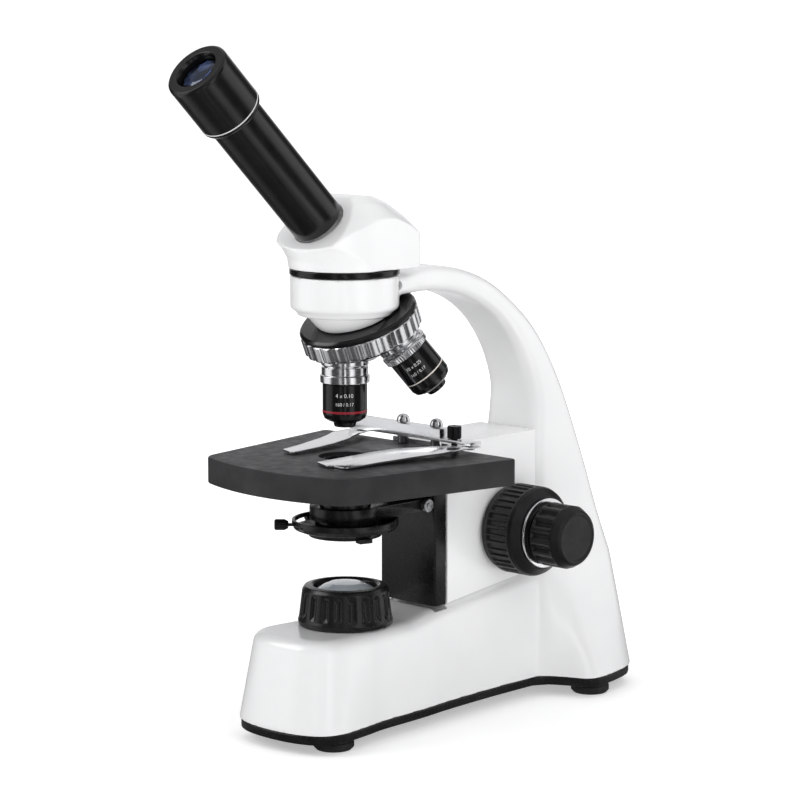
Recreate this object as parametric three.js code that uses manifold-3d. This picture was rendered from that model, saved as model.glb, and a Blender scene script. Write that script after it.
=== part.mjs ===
// A monocular teaching microscope with an inclined eyepiece tube, a tilted three-seat nosepiece,
// a rack-driven stage, a coaxial coarse and fine drive, and an LED lamp in the base.
// Millimetres, +Z up. -Y is the user's side, where the eyepiece leans; the arm stands at +Y.
// Inside the main group the optical axis is x = 0, y = 0, and the table top is z = 0.
import * as THREE from 'three';
import { mergeVertices } from 'three/addons/utils/BufferGeometryUtils.js';
import Module from 'manifold-3d';

const wasm = await Module();
wasm.setup();

// ---------------------------------------------------------------- driving dimensions
const GAP = 0.3;                  // clearance between neighbouring pieces
const RUN = 0.1;                  // radial clearance of a shaft in its hole
const FACETING = 0.6;             // how finely round pieces are faceted; 1 is fine
const CENTRE_Y = -38.78;          // plan position of the optical axis, measured from the origin

const FOOT_HEIGHT = 5;
const FEET = [
  ['foot_front_left', -19.6, -27.3], ['foot_front_right', 19.6, -27.3],
  ['foot_rear_left', -32.5, 140.2], ['foot_rear_right', 32.5, 140.2],
];
const BASE_Z = 9.5;               // bottom edge of the white casting
const BASE_TOP = 52;              // flat of the base round the lamp
const BASE_FRONT = -50.4;
const BASE_REAR = 179;
const COLLAR_R = 25.5;            // round end of the arm
const COLLAR_Z = [199, 218.2];
const SET_SCREW = [16.5, 213.1];  // y and z of the head's set screw, in the side of the collar
const ARM_FRONT_FACE = 114.2;     // face of the arm behind the focus housing

const STAGE_TOP = 132.4;
const STAGE_THICK = 12.5;
const STAGE_HALF_FRONT = 47.5;
const STAGE_HALF_REAR = 63.8;
const STAGE_Y = [-47.5, 50];
const CARRIER_HALF = 18.2;
const CARRIER_Y = [42.3, 50.6];
const CARRIER_BOTTOM = 56.2;
const STAGE_DROP = 2.5;           // how far the stage goes down from here; it goes up 11

const POST_X = 7;                 // the two posts that hang the iris housing from the bracket
const DISH_Z = 97;                // underside of the iris housing
const LEVER_ANGLE = -0.75 * Math.PI;
const FILTER_PIVOT_X = -21;       // pin the filter holder swings on

const HOUSING_HALF = 18.3;
const HOUSING_Y = [51, 113.8];
const HOUSING_TOP = 134;

const DRIVE_Y = 94.2;             // axis of the focus knobs
const DRIVE_Z = 88.3;
const COARSE_R = 22;
const FINE_R = 15.5;
const PINION_R = 6;

const APEX_Z = 217.4;             // where every objective axis meets the nosepiece axis
const TURRET_TILT = 23 * Math.PI / 180;
const SEAT = 42;                  // distance from the apex to each objective's shoulder
const OBJECTIVE_R = 10.5;

const HEAD_Z = 218.4;
const TUBE_TILT = 46 * Math.PI / 180;
const TUBE_PIVOT_Z = 227;
const TUBE_R = 12.7;
const TUBE_START = 33;
const TUBE_END = 98;
const EYEPIECE_R = 15.1;
const EYEPIECE_END = 128;

// ---------------------------------------------------------------- materials
const paint = (color, roughness, metalness) => new THREE.MeshStandardMaterial(
  { color, roughness, metalness });
const WHITE = () => paint(0xf2f2f0, 0.3, 0.0);
const BLACK = () => paint(0x161617, 0.4, 0.0);
const GREY = () => paint(0x4a4b4d, 0.6, 0.0);
const RUBBER = () => paint(0x101010, 0.9, 0.0);
const CHROME = () => paint(0xcfd2d4, 0.15, 1.0);
const STEEL = () => paint(0x9b9fa3, 0.35, 1.0);
const BRASS = () => paint(0xb08d4a, 0.35, 1.0);
const GLASS = () => paint(0xdfeaf2, 0.05, 0.0);
const BOARD = () => paint(0x1f5a3a, 0.6, 0.0);

// ---------------------------------------------------------------- geometry helpers
function bareMesh(geometry) {
  const bare = new THREE.BufferGeometry();
  bare.setAttribute('position', geometry.getAttribute('position').clone());
  if (geometry.index) bare.setIndex(geometry.index.clone());
  const merged = mergeVertices(bare, 1e-4);
  const kept = [];
  const index = merged.index.array;
  for (let i = 0; i < index.length; i += 3) {
    const [a, b, c] = [index[i], index[i + 1], index[i + 2]];
    if (a !== b && b !== c && c !== a) kept.push(a, b, c);
  }
  merged.setIndex(kept);
  return merged;
}

function toManifold(geometry) {
  const bare = bareMesh(geometry);
  return new wasm.Manifold(new wasm.Mesh({
    numProp: 3,
    vertProperties: new Float32Array(bare.getAttribute('position').array),
    triVerts: new Uint32Array(bare.index.array),
  }));
}

function toGeometry(manifold) {
  const result = manifold.getMesh();
  const geometry = new THREE.BufferGeometry();
  geometry.setAttribute('position', new THREE.BufferAttribute(new Float32Array(result.vertProperties), 3));
  geometry.setIndex(new THREE.BufferAttribute(new Uint32Array(result.triVerts), 1));
  return geometry;
}

const join = (first, ...rest) => toGeometry(
  rest.reduce((sum, g) => sum.add(toManifold(g)), toManifold(first)));
const cut = (first, ...rest) => toGeometry(
  rest.reduce((sum, g) => sum.subtract(toManifold(g)), toManifold(first)));
const common = (first, ...rest) => toGeometry(
  rest.reduce((sum, g) => sum.intersect(toManifold(g)), toManifold(first)));

// A solid of revolution about Z. The profile is [radius, z] pairs, counter-clockwise.
function turned(profile, segments = 40) {
  const points = profile.map(([r, z]) => new THREE.Vector2(r, z));
  const sides = 4 * Math.max(3, Math.round(segments * FACETING / 4));
  return bareMesh(new THREE.LatheGeometry(points, sides).rotateX(Math.PI / 2));
}

const disc = (r, z0, z1, segments = 40) => turned([[0, z0], [r, z0], [r, z1], [0, z1]], segments);
const ring = (inner, outer, z0, z1, segments = 40) => turned(
  [[inner, z0], [outer, z0], [outer, z1], [inner, z1], [inner, z0]], segments);

// Part of a ring in plan: the wedge within `spread` radians of `angle` on each side.
function sector(inner, outer, angle, spread) {
  const arc = (r, from, to) => [0, 1, 2, 3, 4, 5, 6].map((i) => from + (to - from) * i / 6)
    .map((a) => [r * Math.cos(a), r * Math.sin(a)]);
  const [from, to] = [angle - spread, angle + spread];
  return outline([...arc(outer, from, to), ...arc(inner, to, from)]);
}

// A solid turned about Z, laid about an X axis through (y, z).
const alongX = (geometry, y, z) => geometry.rotateY(Math.PI / 2).translate(0, y, z);

function block(x0, x1, y0, y1, z0, z1) {
  return new THREE.BoxGeometry(x1 - x0, y1 - y0, z1 - z0)
    .translate((x0 + x1) / 2, (y0 + y1) / 2, (z0 + z1) / 2);
}

function outline(points) {
  return new THREE.Shape(points.map(([x, y]) => new THREE.Vector2(x, y)));
}

function extruded(shape, depth, curveSegments = 8) {
  return bareMesh(new THREE.ExtrudeGeometry(shape, { depth, bevelEnabled: false, curveSegments }));
}

// Plan outline (x, y) raised from z0 to z1.
const plate = (shape, z0, z1, curveSegments) => extruded(shape, z1 - z0, curveSegments).translate(0, 0, z0);

// Side outline (y, z) spread evenly from -half to +half along X.
const sidePlate = (shape, half) => extruded(shape, 2 * half)
  .applyMatrix4(new THREE.Matrix4().makeBasis(
    new THREE.Vector3(0, 1, 0), new THREE.Vector3(0, 0, 1), new THREE.Vector3(1, 0, 0)))
  .translate(-half, 0, 0);

// A round outline with a wavy or grooved edge.
function grooved(radius, depth, count, duty = 0.35, phase = 0) {
  const points = [];
  const step = 2 * Math.PI / count;
  for (let i = 0; i < count; i += 1) {
    const start = phase + i * step;
    for (const [t, r] of [[0, radius], [1 - duty, radius], [1 - 0.7 * duty, radius - depth],
      [1 - 0.3 * duty, radius - depth]]) {
      points.push([r * Math.cos(start + t * step), r * Math.sin(start + t * step)]);
    }
  }
  return outline(points);
}

// One point of a rounded rectangle's edge, corner by corner, `steps` to a corner.
function roundedRing(halfWide, halfDeep, radius, steps = 4) {
  const points = [];
  const r = Math.min(radius, halfWide - 0.01, halfDeep - 0.01);
  const corners = [[1, 1], [-1, 1], [-1, -1], [1, -1]];
  corners.forEach(([sx, sy], corner) => {
    for (let i = 0; i <= steps; i += 1) {
      const a = (corner + i / steps) * Math.PI / 2;
      points.push([sx * (halfWide - r) + r * Math.cos(a), sy * (halfDeep - r) + r * Math.sin(a)]);
    }
  });
  return points;
}

const roundedShape = (halfWide, halfDeep, radius, steps) => outline(
  roundedRing(halfWide, halfDeep, radius, steps));

// A closed skin over rings of equal length, with a flat cap on each end.
function loft(rings) {
  const count = rings[0].length;
  const positions = rings.flat(2);
  const index = [];
  for (let i = 0; i + 1 < rings.length; i += 1) {
    for (let j = 0; j < count; j += 1) {
      const k = (j + 1) % count;
      const [a, b, c, d] = [i * count + j, i * count + k, (i + 1) * count + k, (i + 1) * count + j];
      index.push(a, b, c, a, c, d);
    }
  }
  const last = (rings.length - 1) * count;
  for (let j = 1; j + 1 < count; j += 1) {
    index.push(0, j + 1, j);
    index.push(last, last + j, last + j + 1);
  }
  const geometry = new THREE.BufferGeometry();
  geometry.setAttribute('position', new THREE.Float32BufferAttribute(positions, 3));
  geometry.setIndex(index);
  return bareMesh(geometry);
}

// ---------------------------------------------------------------- the assembly's groups
const microscope = new THREE.Group();
microscope.position.y = CENTRE_Y;

function group(parent = microscope) {
  const g = new THREE.Group();
  parent.add(g);
  return g;
}

function add(name, geometry, material, parent = microscope) {
  const mesh = new THREE.Mesh(bareMesh(geometry), material);
  mesh.name = name;
  parent.add(mesh);
  return mesh;
}

// Lies along the nosepiece axis: local -Z runs down that axis from the apex.
const turretAxis = group();
turretAxis.position.z = APEX_Z;
turretAxis.rotation.x = TURRET_TILT;
turretAxis.updateMatrix();
const tilted = (geometry) => geometry.clone().applyMatrix4(turretAxis.matrix);

// Lies along the eyepiece tube: local +Z runs up the tube.
const tubeAxis = group();
tubeAxis.position.z = TUBE_PIVOT_Z;
tubeAxis.rotation.x = TUBE_TILT;
tubeAxis.updateMatrix();
const inclined = (geometry) => geometry.clone().applyMatrix4(tubeAxis.matrix);

// ---------------------------------------------------------------- stand
// Sections of the base across Y: [y, half width at the bottom, half width at the top, top z].
const BASE_SECTIONS = [
  [BASE_FRONT, 9, 5, 20], [-49.2, 16, 11, 27], [-47, 23, 17, 36], [-44, 28, 21, 44], [-40, 30.6, 24.5, 49],
  [-34, 31.8, 26.5, 51.2], [-26, 31.2, 27, BASE_TOP], [0, 27.4, 24.6, BASE_TOP], [24.5, 25.8, 22.8, BASE_TOP],
  [36, 24.6, 21.7, 53.8],
  [50, 23, 20.4, 55.8], [80, 21, 19.2, 59.8], [112, 20, 19, 63.8], [126, 20, 19, 66],
];

// The column and arm, from the floor up and over: inner and outer edge, half width, corner radius.
const ARM_SECTIONS = [
  { inner: [119, BASE_Z], outer: [BASE_REAR, BASE_Z], half: 44, radius: 21 },
  { inner: [118, 18], outer: [178.9, 18], half: 40, radius: 20 },
  { inner: [116, 30], outer: [178.3, 30], half: 33.5, radius: 17 },
  { inner: [114.4, 45], outer: [176.4, 45], half: 27.5, radius: 13 },
  { inner: [ARM_FRONT_FACE, 66], outer: [171.5, 66], half: 22.8, radius: 9 },
  { inner: [ARM_FRONT_FACE, 88], outer: [163.8, 88], half: 19.8, radius: 7 },
  { inner: [ARM_FRONT_FACE, 110], outer: [155.8, 110], half: 18.6, radius: 6 },
  { inner: [ARM_FRONT_FACE, 128], outer: [149, 127], half: 18.2, radius: 6 },
  { inner: [115.4, 142], outer: [143.2, 142], half: 17.4, radius: 6 },
  { inner: [115.2, 154], outer: [137.2, 156], half: 16.6, radius: 6 },
  { inner: [110, 168], outer: [128.5, 171], half: 16, radius: 5.5 },
  { inner: [103, 179.5], outer: [117, 186], half: 15.6, radius: 5.5 },
  { inner: [93.5, 190], outer: [102, 199], half: 15.3, radius: 5 },
  { inner: [81, 198.5], outer: [86, 209.5], half: 15.1, radius: 5 },
  { inner: [66, 204.4], outer: [69, 216], half: 15, radius: 5 },
  { inner: [50, 207.2], outer: [51.5, 219.4], half: 15.2, radius: 5 },
  { inner: [38, 208], outer: [38.5, 219.8], half: 16.2, radius: 4.5 },
  { inner: [24, 208], outer: [24, 217.6], half: 19, radius: 4 },
  { inner: [8, 208], outer: [8, 217.6], half: 20, radius: 4 },
];

function baseBody() {
  const rings = BASE_SECTIONS.map(([y, bottom, top, height]) => {
    const r = Math.min(5, (height - BASE_Z) / 3, top * 0.7);
    const corner = (sign) => [0, 1, 2, 3].map((i) => {
      const a = (sign > 0 ? i : 3 - i) * Math.PI / 6;
      return [sign * (top - r + r * Math.cos(a)), y, height - r + r * Math.sin(a)];
    });
    return [[bottom, y, BASE_Z], ...corner(1), ...corner(-1), [-bottom, y, BASE_Z]];
  });
  return loft(rings.reverse());
}

function armBody() {
  const rings = ARM_SECTIONS.map(({ inner, outer, half, radius }) => {
    const middle = [(inner[0] + outer[0]) / 2, (inner[1] + outer[1]) / 2];
    const deep = Math.hypot(outer[0] - inner[0], outer[1] - inner[1]) / 2;
    const along = [(outer[0] - inner[0]) / 2 / deep, (outer[1] - inner[1]) / 2 / deep];
    return roundedRing(half, deep, radius, 3)
      .map(([x, d]) => [x, middle[0] + d * along[0], middle[1] + d * along[1]]);
  });
  return loft(rings);
}

function standCasting() {
  const collar = turned([[0, COLLAR_Z[0]], [22.2, COLLAR_Z[0]], [22.2, 200.5], [COLLAR_R, 203],
    [COLLAR_R, COLLAR_Z[1]], [0, COLLAR_Z[1]]], 48);
  const bay = block(-15.5, 15.5, -36, 132, BASE_Z - 1, 40);
  const rearBay = block(-26, 26, 131, 168, BASE_Z - 1, 28);
  const inletHole = alongX(disc(5.2, -12, 12, 24), 0, 0).rotateZ(Math.PI / 2).translate(16, 172, 20);
  const dialHole = alongX(disc(5.3, -12, 12, 24), 150, 22).translate(-30, 0, 0);
  const dialRecess = alongX(disc(9.6, -20, 0, 28), 150, 22).translate(-38.1, 0, 0);
  const turretRoom = tilted(disc(30.2, -75, -19.6, 48));
  const carrierWell = block(-CARRIER_HALF - GAP, CARRIER_HALF + GAP, CARRIER_Y[0] - GAP, CARRIER_Y[1] + 0.5,
    CARRIER_BOTTOM - STAGE_DROP - 2 * GAP, 60);
  return cut(
    join(baseBody(), armBody(), collar),
    bay,
    rearBay,
    carrierWell,
    inletHole,
    dialHole,
    dialRecess,
    disc(13, 36, 60, 32),
    disc(15.2, 195, 215, 32),
    disc(11, 210, 222, 32),
    alongX(disc(2.4, 9, 30, 16), ...SET_SCREW),
    turretRoom,
  );
}

function basePlate() {
  const edge = [];
  for (const [y, half] of BASE_SECTIONS) {
    if (y < 110) edge.push([half - 0.6, y + (y < -48 ? 0.8 : 0)]);
  }
  edge.push([20.5, 117], [28, 121.5], [38, 126], [43, 134], [43.2, 150], [38, 166], [29, 175.5], [14, 178.2]);
  const left = edge.map(([x, y]) => [-x, y]).reverse();
  const footWell = (x, y) => disc(3, FOOT_HEIGHT - 1, BASE_Z, 16).translate(x, y, 0);
  return cut(plate(outline([...edge, ...left]), FOOT_HEIGHT + GAP, BASE_Z - GAP),
    ...FEET.map(([, x, y]) => footWell(x, y)));
}

function stand() {
  add('stand_casting', standCasting(), WHITE());
  add('base_plate', basePlate(), BLACK());
  for (const [name, x, y] of FEET) {
    const foot = turned([[0, 0], [8.4, 0], [9.5, 1.2], [9.5, FOOT_HEIGHT], [2.7, FOOT_HEIGHT],
      [2.7, BASE_Z - GAP], [0, BASE_Z - GAP]], 24);
    add(name, foot.translate(x, y, 0), RUBBER());
  }
  const inlet = cut(disc(5, -7, 9, 24), disc(3, -8, 6, 20));
  add('power_inlet', join(inlet, disc(1, 0, 8, 12)).rotateX(Math.PI / 2).translate(16, 170, 20), BLACK());
}

// ---------------------------------------------------------------- lamp in the base
function lamp() {
  const wall = cut(
    turned([[0, BASE_TOP + GAP], [22.3, BASE_TOP + GAP], [22, 56], [20.2, 69.5], [18.6, 71.1],
      [0, 71.1]], 40),
    turned([[0, 50], [11, 50], [11, 60], [14.6, 66], [14.6, 73], [0, 73]], 32));
  add('lamp_housing', wall, BLACK());
  const lens = turned([[0, 66.6], [9, 66.4], [14.2, 66.3], [14.2, 68], [12.5, 69.8], [9, 71.4], [5, 72.3],
    [0, 72.7]], 32);
  add('lamp_lens', lens, GLASS());
  add('led_holder', turned([[0, 11], [9, 11], [9, 13], [6, 14], [6, 46], [9.5, 48], [9.5, 57], [0, 57]], 24),
    STEEL());
  add('led_board', join(disc(9, 57 + GAP, 59, 24), disc(2.5, 58.5, 60.6, 16)), BRASS());
  add('driver_board', join(block(-12, 12, 20, 80, 14, 15.6), block(-8, 0, 30, 44, 15, 24),
    block(2, 9, 50, 66, 15, 22)), BOARD());
  const dial = join(disc(5, 0, 11, 24), disc(9, 11, 17, 24));
  add('brightness_dial', dial.rotateY(-Math.PI / 2).translate(-27.5, 150, 22), BLACK());
}

// ---------------------------------------------------------------- focus drive
function focusHousing() {
  const side = outline([[HOUSING_Y[0], 56.6], [HOUSING_Y[1], 64.7], [HOUSING_Y[1], HOUSING_TOP],
    [HOUSING_Y[0], HOUSING_TOP]]);
  return cut(sidePlate(side, HOUSING_HALF),
    block(-15.4, 15.4, HOUSING_Y[0] - 1, 110.5, 67.5, HOUSING_TOP - 2.4),
    alongX(disc(5 + RUN, -25, 25, 24), DRIVE_Y, DRIVE_Z));
}

function knobHalf(sign) {
  const side = sign > 0 ? 'right' : 'left';
  const place = (geometry) => geometry.rotateY(sign * Math.PI / 2).translate(0, DRIVE_Y, DRIVE_Z);
  const coarse = cut(
    join(disc(COARSE_R - 1.2, 19.8, 22, 36), plate(grooved(COARSE_R, 0.8, 12, 0.3), 21.9, 37, 2),
      turned([[0, 36.9], [COARSE_R - 0.6, 36.9], [COARSE_R - 1.2, 39], [17.5, 42], [0, 42]], 36)),
    disc(5 + GAP, 18, 40, 24), disc(2.2 + GAP, 30, 45, 20));
  add(`coarse_knob_${side}`, place(coarse), BLACK());
  add(`knob_ring_${side}`, place(ring(12, 17, 42 + GAP, 43.8, 36)), CHROME());
  const fine = cut(
    join(disc(13, 44.1, 46, 32), plate(grooved(FINE_R, 1.8, 12, 0.45), 45.9, 57, 2),
      turned([[0, 56.9], [FINE_R - 1, 56.9], [13.4, 62], [11.8, 63.3], [0, 63.3]], 32)),
    disc(2 + GAP, 40, 58, 20));
  add(`fine_knob_${side}`, place(fine), BLACK());
}

function drive() {
  add('focus_housing', focusHousing(), WHITE());
  const pinion = plate(grooved(PINION_R, 1.3, 16, 0.5), -4, 4, 2);
  const shaft = cut(join(disc(5, -38, 38, 24), pinion), disc(2.2, -40, 40, 20));
  add('coarse_shaft', alongX(shaft, DRIVE_Y, DRIVE_Z), STEEL());
  add('fine_shaft', alongX(disc(2, -56, 56, 16), DRIVE_Y, DRIVE_Z), STEEL());
  knobHalf(1);
  knobHalf(-1);
  for (const [side, sign] of [['left', -1], ['right', 1]]) {
    const [near, far] = [9.9 * sign, 15.1 * sign];
    add(`guide_rail_${side}`, block(Math.min(near, far), Math.max(near, far), 54, 80, 68, 131), STEEL());
  }
}

// ---------------------------------------------------------------- stage and what rides on it
function stageShape() {
  const [front, rear] = STAGE_Y;
  const shape = new THREE.Shape();
  const cornerR = 8;
  shape.moveTo(-STAGE_HALF_FRONT + cornerR, front - 1.2);
  shape.quadraticCurveTo(0, front - 15.5, STAGE_HALF_FRONT - cornerR, front - 1.2);
  shape.quadraticCurveTo(STAGE_HALF_FRONT - 0.4, front + 0.6, STAGE_HALF_FRONT + 1, front + cornerR);
  shape.lineTo(STAGE_HALF_REAR - 0.3, rear - 3);
  shape.quadraticCurveTo(STAGE_HALF_REAR, rear, STAGE_HALF_REAR - 3, rear);
  shape.lineTo(-STAGE_HALF_REAR + 3, rear);
  shape.quadraticCurveTo(-STAGE_HALF_REAR, rear, -STAGE_HALF_REAR + 0.3, rear - 3);
  shape.lineTo(-STAGE_HALF_FRONT - 1, front + cornerR);
  shape.quadraticCurveTo(-STAGE_HALF_FRONT + 0.4, front + 0.6, -STAGE_HALF_FRONT + cornerR, front - 1.2);
  return shape;
}

const CLIP_TOP = STAGE_TOP + 4;         // underside of the clip bar
const BAR_Y = [43, 50.4];
const BAR_LOW = CLIP_TOP + 1.6;         // top of the bar at its right end
const BAR_HIGH = CLIP_TOP + 6;          // top of its raised length, from the left end to RIB_END
const RIB_END = 20.6;
const NUT_X = [-7.1, 14.9];
const SCREW_X = 26.6;
const CLIP_PIVOT = [36.5, 46.7];

// A stage clip: a plan outline cut out of a bent strip of spring steel. `sign` is +1 on the right.
function clipBlade(sign) {
  const left = [[18.4, -16.8], [27.8, -14], [29.6, -0.7], [33.8, 16.7], [39.5, 31], [41.5, 50], [31.5, 50],
    [28, 38], [23, 26], [19, 12], [18.2, 0]];
  const right = [[8.5, -27], [19.5, -31], [21, -28.6], [29.5, -29], [31.5, -10], [36, 10], [41, 30],
    [41.5, 50], [31.5, 50], [29, 38], [23, 29], [15.5, 22], [12, 8], [10, -8]];
  const plan = (sign < 0 ? left : right).map(([x, y]) => [sign * x, y]);
  if (sign < 0) plan.reverse();
  const low = [[-32, 132.9], [-20, 133.1], [-5, 133.6], [12, 134.3], [24, 134.6], [33, 135.3], [51, 135.3]];
  const high = low.map(([y, z]) => [y, z + 0.8]).reverse();
  return common(plate(outline(plan), 130, 140), sidePlate(outline([...low, ...high]), 60));
}

function clips() {
  const pivotY = CLIP_PIVOT[1];
  const hole = (x) => disc(1.8, 120, 150, 16).translate(x, pivotY, 0);
  const boss = (x) => disc(2.8, STAGE_TOP + GAP, CLIP_TOP + 0.5, 20).translate(x, pivotY, 0);
  const rivet = (x) => turned([[0, 134.1], [2.6, 134.1], [2.6, 135], [1.5, 135], [1.5, CLIP_TOP + 0.5],
    [0, CLIP_TOP + 0.5]], 16).translate(x, pivotY, 0);
  const strip = block(-40.5, 40.5, BAR_Y[0], BAR_Y[1], CLIP_TOP + 0.1, BAR_LOW);
  const rib = block(-40.5, RIB_END, BAR_Y[0], BAR_Y[1], CLIP_TOP + 0.5, BAR_HIGH);
  add('clip_bar', cut(join(strip, rib, ...NUT_X.map(boss), rivet(CLIP_PIVOT[0]), rivet(-CLIP_PIVOT[0])),
    ...NUT_X.map(hole), hole(SCREW_X)), CHROME());
  const fastener = (seat, head) => turned([[0, STAGE_TOP - 6], [1.5, STAGE_TOP - 6], [1.5, seat + GAP],
    ...head.map(([r, z]) => [r, seat + GAP + z])], 20);
  const nut = fastener(BAR_HIGH, [[3.2, 0], [3.2, 1.1], [2.8, 2.6], [1.6, 3.8], [0, 4.2]]);
  for (const [side, sign, nutX] of [['left', -1, NUT_X[0]], ['right', 1, NUT_X[1]]]) {
    add(`clip_${side}`, cut(clipBlade(sign), hole(sign * CLIP_PIVOT[0])), CHROME());
    add(`clip_nut_${side}`, nut.clone().translate(nutX, pivotY, 0), CHROME());
  }
  const screw = fastener(BAR_LOW, [[3.4, 0], [3.4, 6.2], [0, 6.2]]);
  add('clip_thumb_screw', screw.translate(SCREW_X, pivotY, 0), BLACK());
}

function stage() {
  const wells = [...NUT_X, SCREW_X].map((x) => disc(1.8, STAGE_TOP - 7, STAGE_TOP + 1, 16)
    .translate(x, CLIP_PIVOT[1], 0));
  add('stage_plate', cut(plate(stageShape(), STAGE_TOP - STAGE_THICK, STAGE_TOP, 10),
    disc(12.5, 100, 140, 40), ...wells), GREY());
  const bracket = join(disc(17, 103, 109, 32), block(-16, 16, 0, 43, 103, 109));
  const slideBlock = block(-9.5, 9.5, CARRIER_Y[1] - 0.5, 81, 71, 116);
  const upright = plate(roundedShape(CARRIER_HALF, (CARRIER_Y[1] - CARRIER_Y[0]) / 2, 0.8, 1),
    CARRIER_BOTTOM, STAGE_TOP - STAGE_THICK - GAP).translate(0, (CARRIER_Y[0] + CARRIER_Y[1]) / 2, 0);
  const postHole = (x) => disc(2.1, 100, 106.3, 16).translate(x, 20.6, 0);
  add('stage_carrier', cut(join(upright, bracket, slideBlock), disc(12.3, 100, 112, 32),
    alongX(disc(1.8, 8, 30, 16), 37.5, 106),
    postHole(POST_X), postHole(-POST_X)), BLACK());
  add('bracket_screw', alongX(join(disc(1.5, 9, 17, 16), disc(3.2, 16 + GAP, 19.5, 20)), 37.5, 106), STEEL());
  const pitch = 2 * Math.PI * PINION_R / 16;
  const rackFace = DRIVE_Y - PINION_R - 0.2;
  const teeth = [];
  for (let z = 71; z < 115; z += pitch) {
    teeth.push([rackFace - 1.4, z], [rackFace, z + pitch * 0.3], [rackFace, z + pitch * 0.5],
      [rackFace - 1.4, z + pitch * 0.8]);
  }
  teeth.push([81 + GAP, 115.5], [81 + GAP, 71]);
  add('rack', sidePlate(outline(teeth), 3.5), BRASS());
  clips();
}

// ---------------------------------------------------------------- under the stage
function substage() {
  add('condenser_barrel', cut(turned([[0, 100.9], [14.5, 100.9], [14.5, 102.7], [12, 102.7], [12, 131],
    [0, 131]], 36), disc(9, 99, 126, 28), disc(10.4, 125, 133, 28)), BLACK());
  add('condenser_lens', turned([[0, 126.3], [10.1, 126.3], [10.1, 128.5], [7, 130.4], [3.5, 131.2],
    [0, 131.5]], 28), GLASS());
  const dish = turned([[9, DISH_Z], [22, DISH_Z], [25.2, DISH_Z + 2.4], [25.2, DISH_Z + 5.6],
    [23.8, DISH_Z + 5.6], [23, DISH_Z + 1.6], [9, DISH_Z + 1.6], [9, DISH_Z]], 40);
  const leverSlot = plate(sector(20.5, 27, LEVER_ANGLE, 0.68), DISH_Z + 1.7, DISH_Z + 3.8);
  const post = disc(1.8, DISH_Z + 0.2, 106, 16).translate(POST_X, 20.6, 0);
  const swingPin = join(disc(1.5, DISH_Z - 3, DISH_Z + 1, 16), disc(2.6, DISH_Z - 3.5, DISH_Z - 2.6, 16))
    .translate(FILTER_PIVOT_X, 0, 0);
  add('iris_housing', join(cut(dish, leverSlot), post, post.clone().translate(-2 * POST_X, 0, 0), swingPin),
    BLACK());
  const leverZ = DISH_Z + 1.9;
  const lever = join(ring(9.5, 19.4, leverZ, leverZ + 1.5, 32),
    block(18, 28.5, -1.6, 1.6, leverZ + 0.2, leverZ + 1.3));
  const grip = disc(2.6, 27.5, 33.4, 16).rotateY(Math.PI / 2).translate(0, 0, leverZ + 0.75);
  add('iris_lever', join(lever, grip).rotateZ(LEVER_ANGLE), BLACK());

  const trayZ = DISH_Z - 2.3;
  const eye = disc(4, trayZ, trayZ + 2, 20).translate(FILTER_PIVOT_X, 0, 0);
  const pinHole = disc(1.8, trayZ - 1, trayZ + 3, 16).translate(FILTER_PIVOT_X, 0, 0);
  const tab = block(15, 20.5, -3.4, 3.4, trayZ - 1, trayZ + 1.2).rotateZ(-0.28);
  add('filter_holder', cut(
    join(disc(17.2, trayZ, trayZ + 2, 36), eye, block(FILTER_PIVOT_X, -15, -3, 3, trayZ, trayZ + 2), tab),
    disc(15.2, trayZ + 0.7, trayZ + 3, 32), disc(13, trayZ - 2, trayZ + 3, 32), pinHole), BLACK());
  add('filter_glass', disc(14.9, trayZ + 0.85, trayZ + 1.9, 32), GLASS());
}

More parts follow.
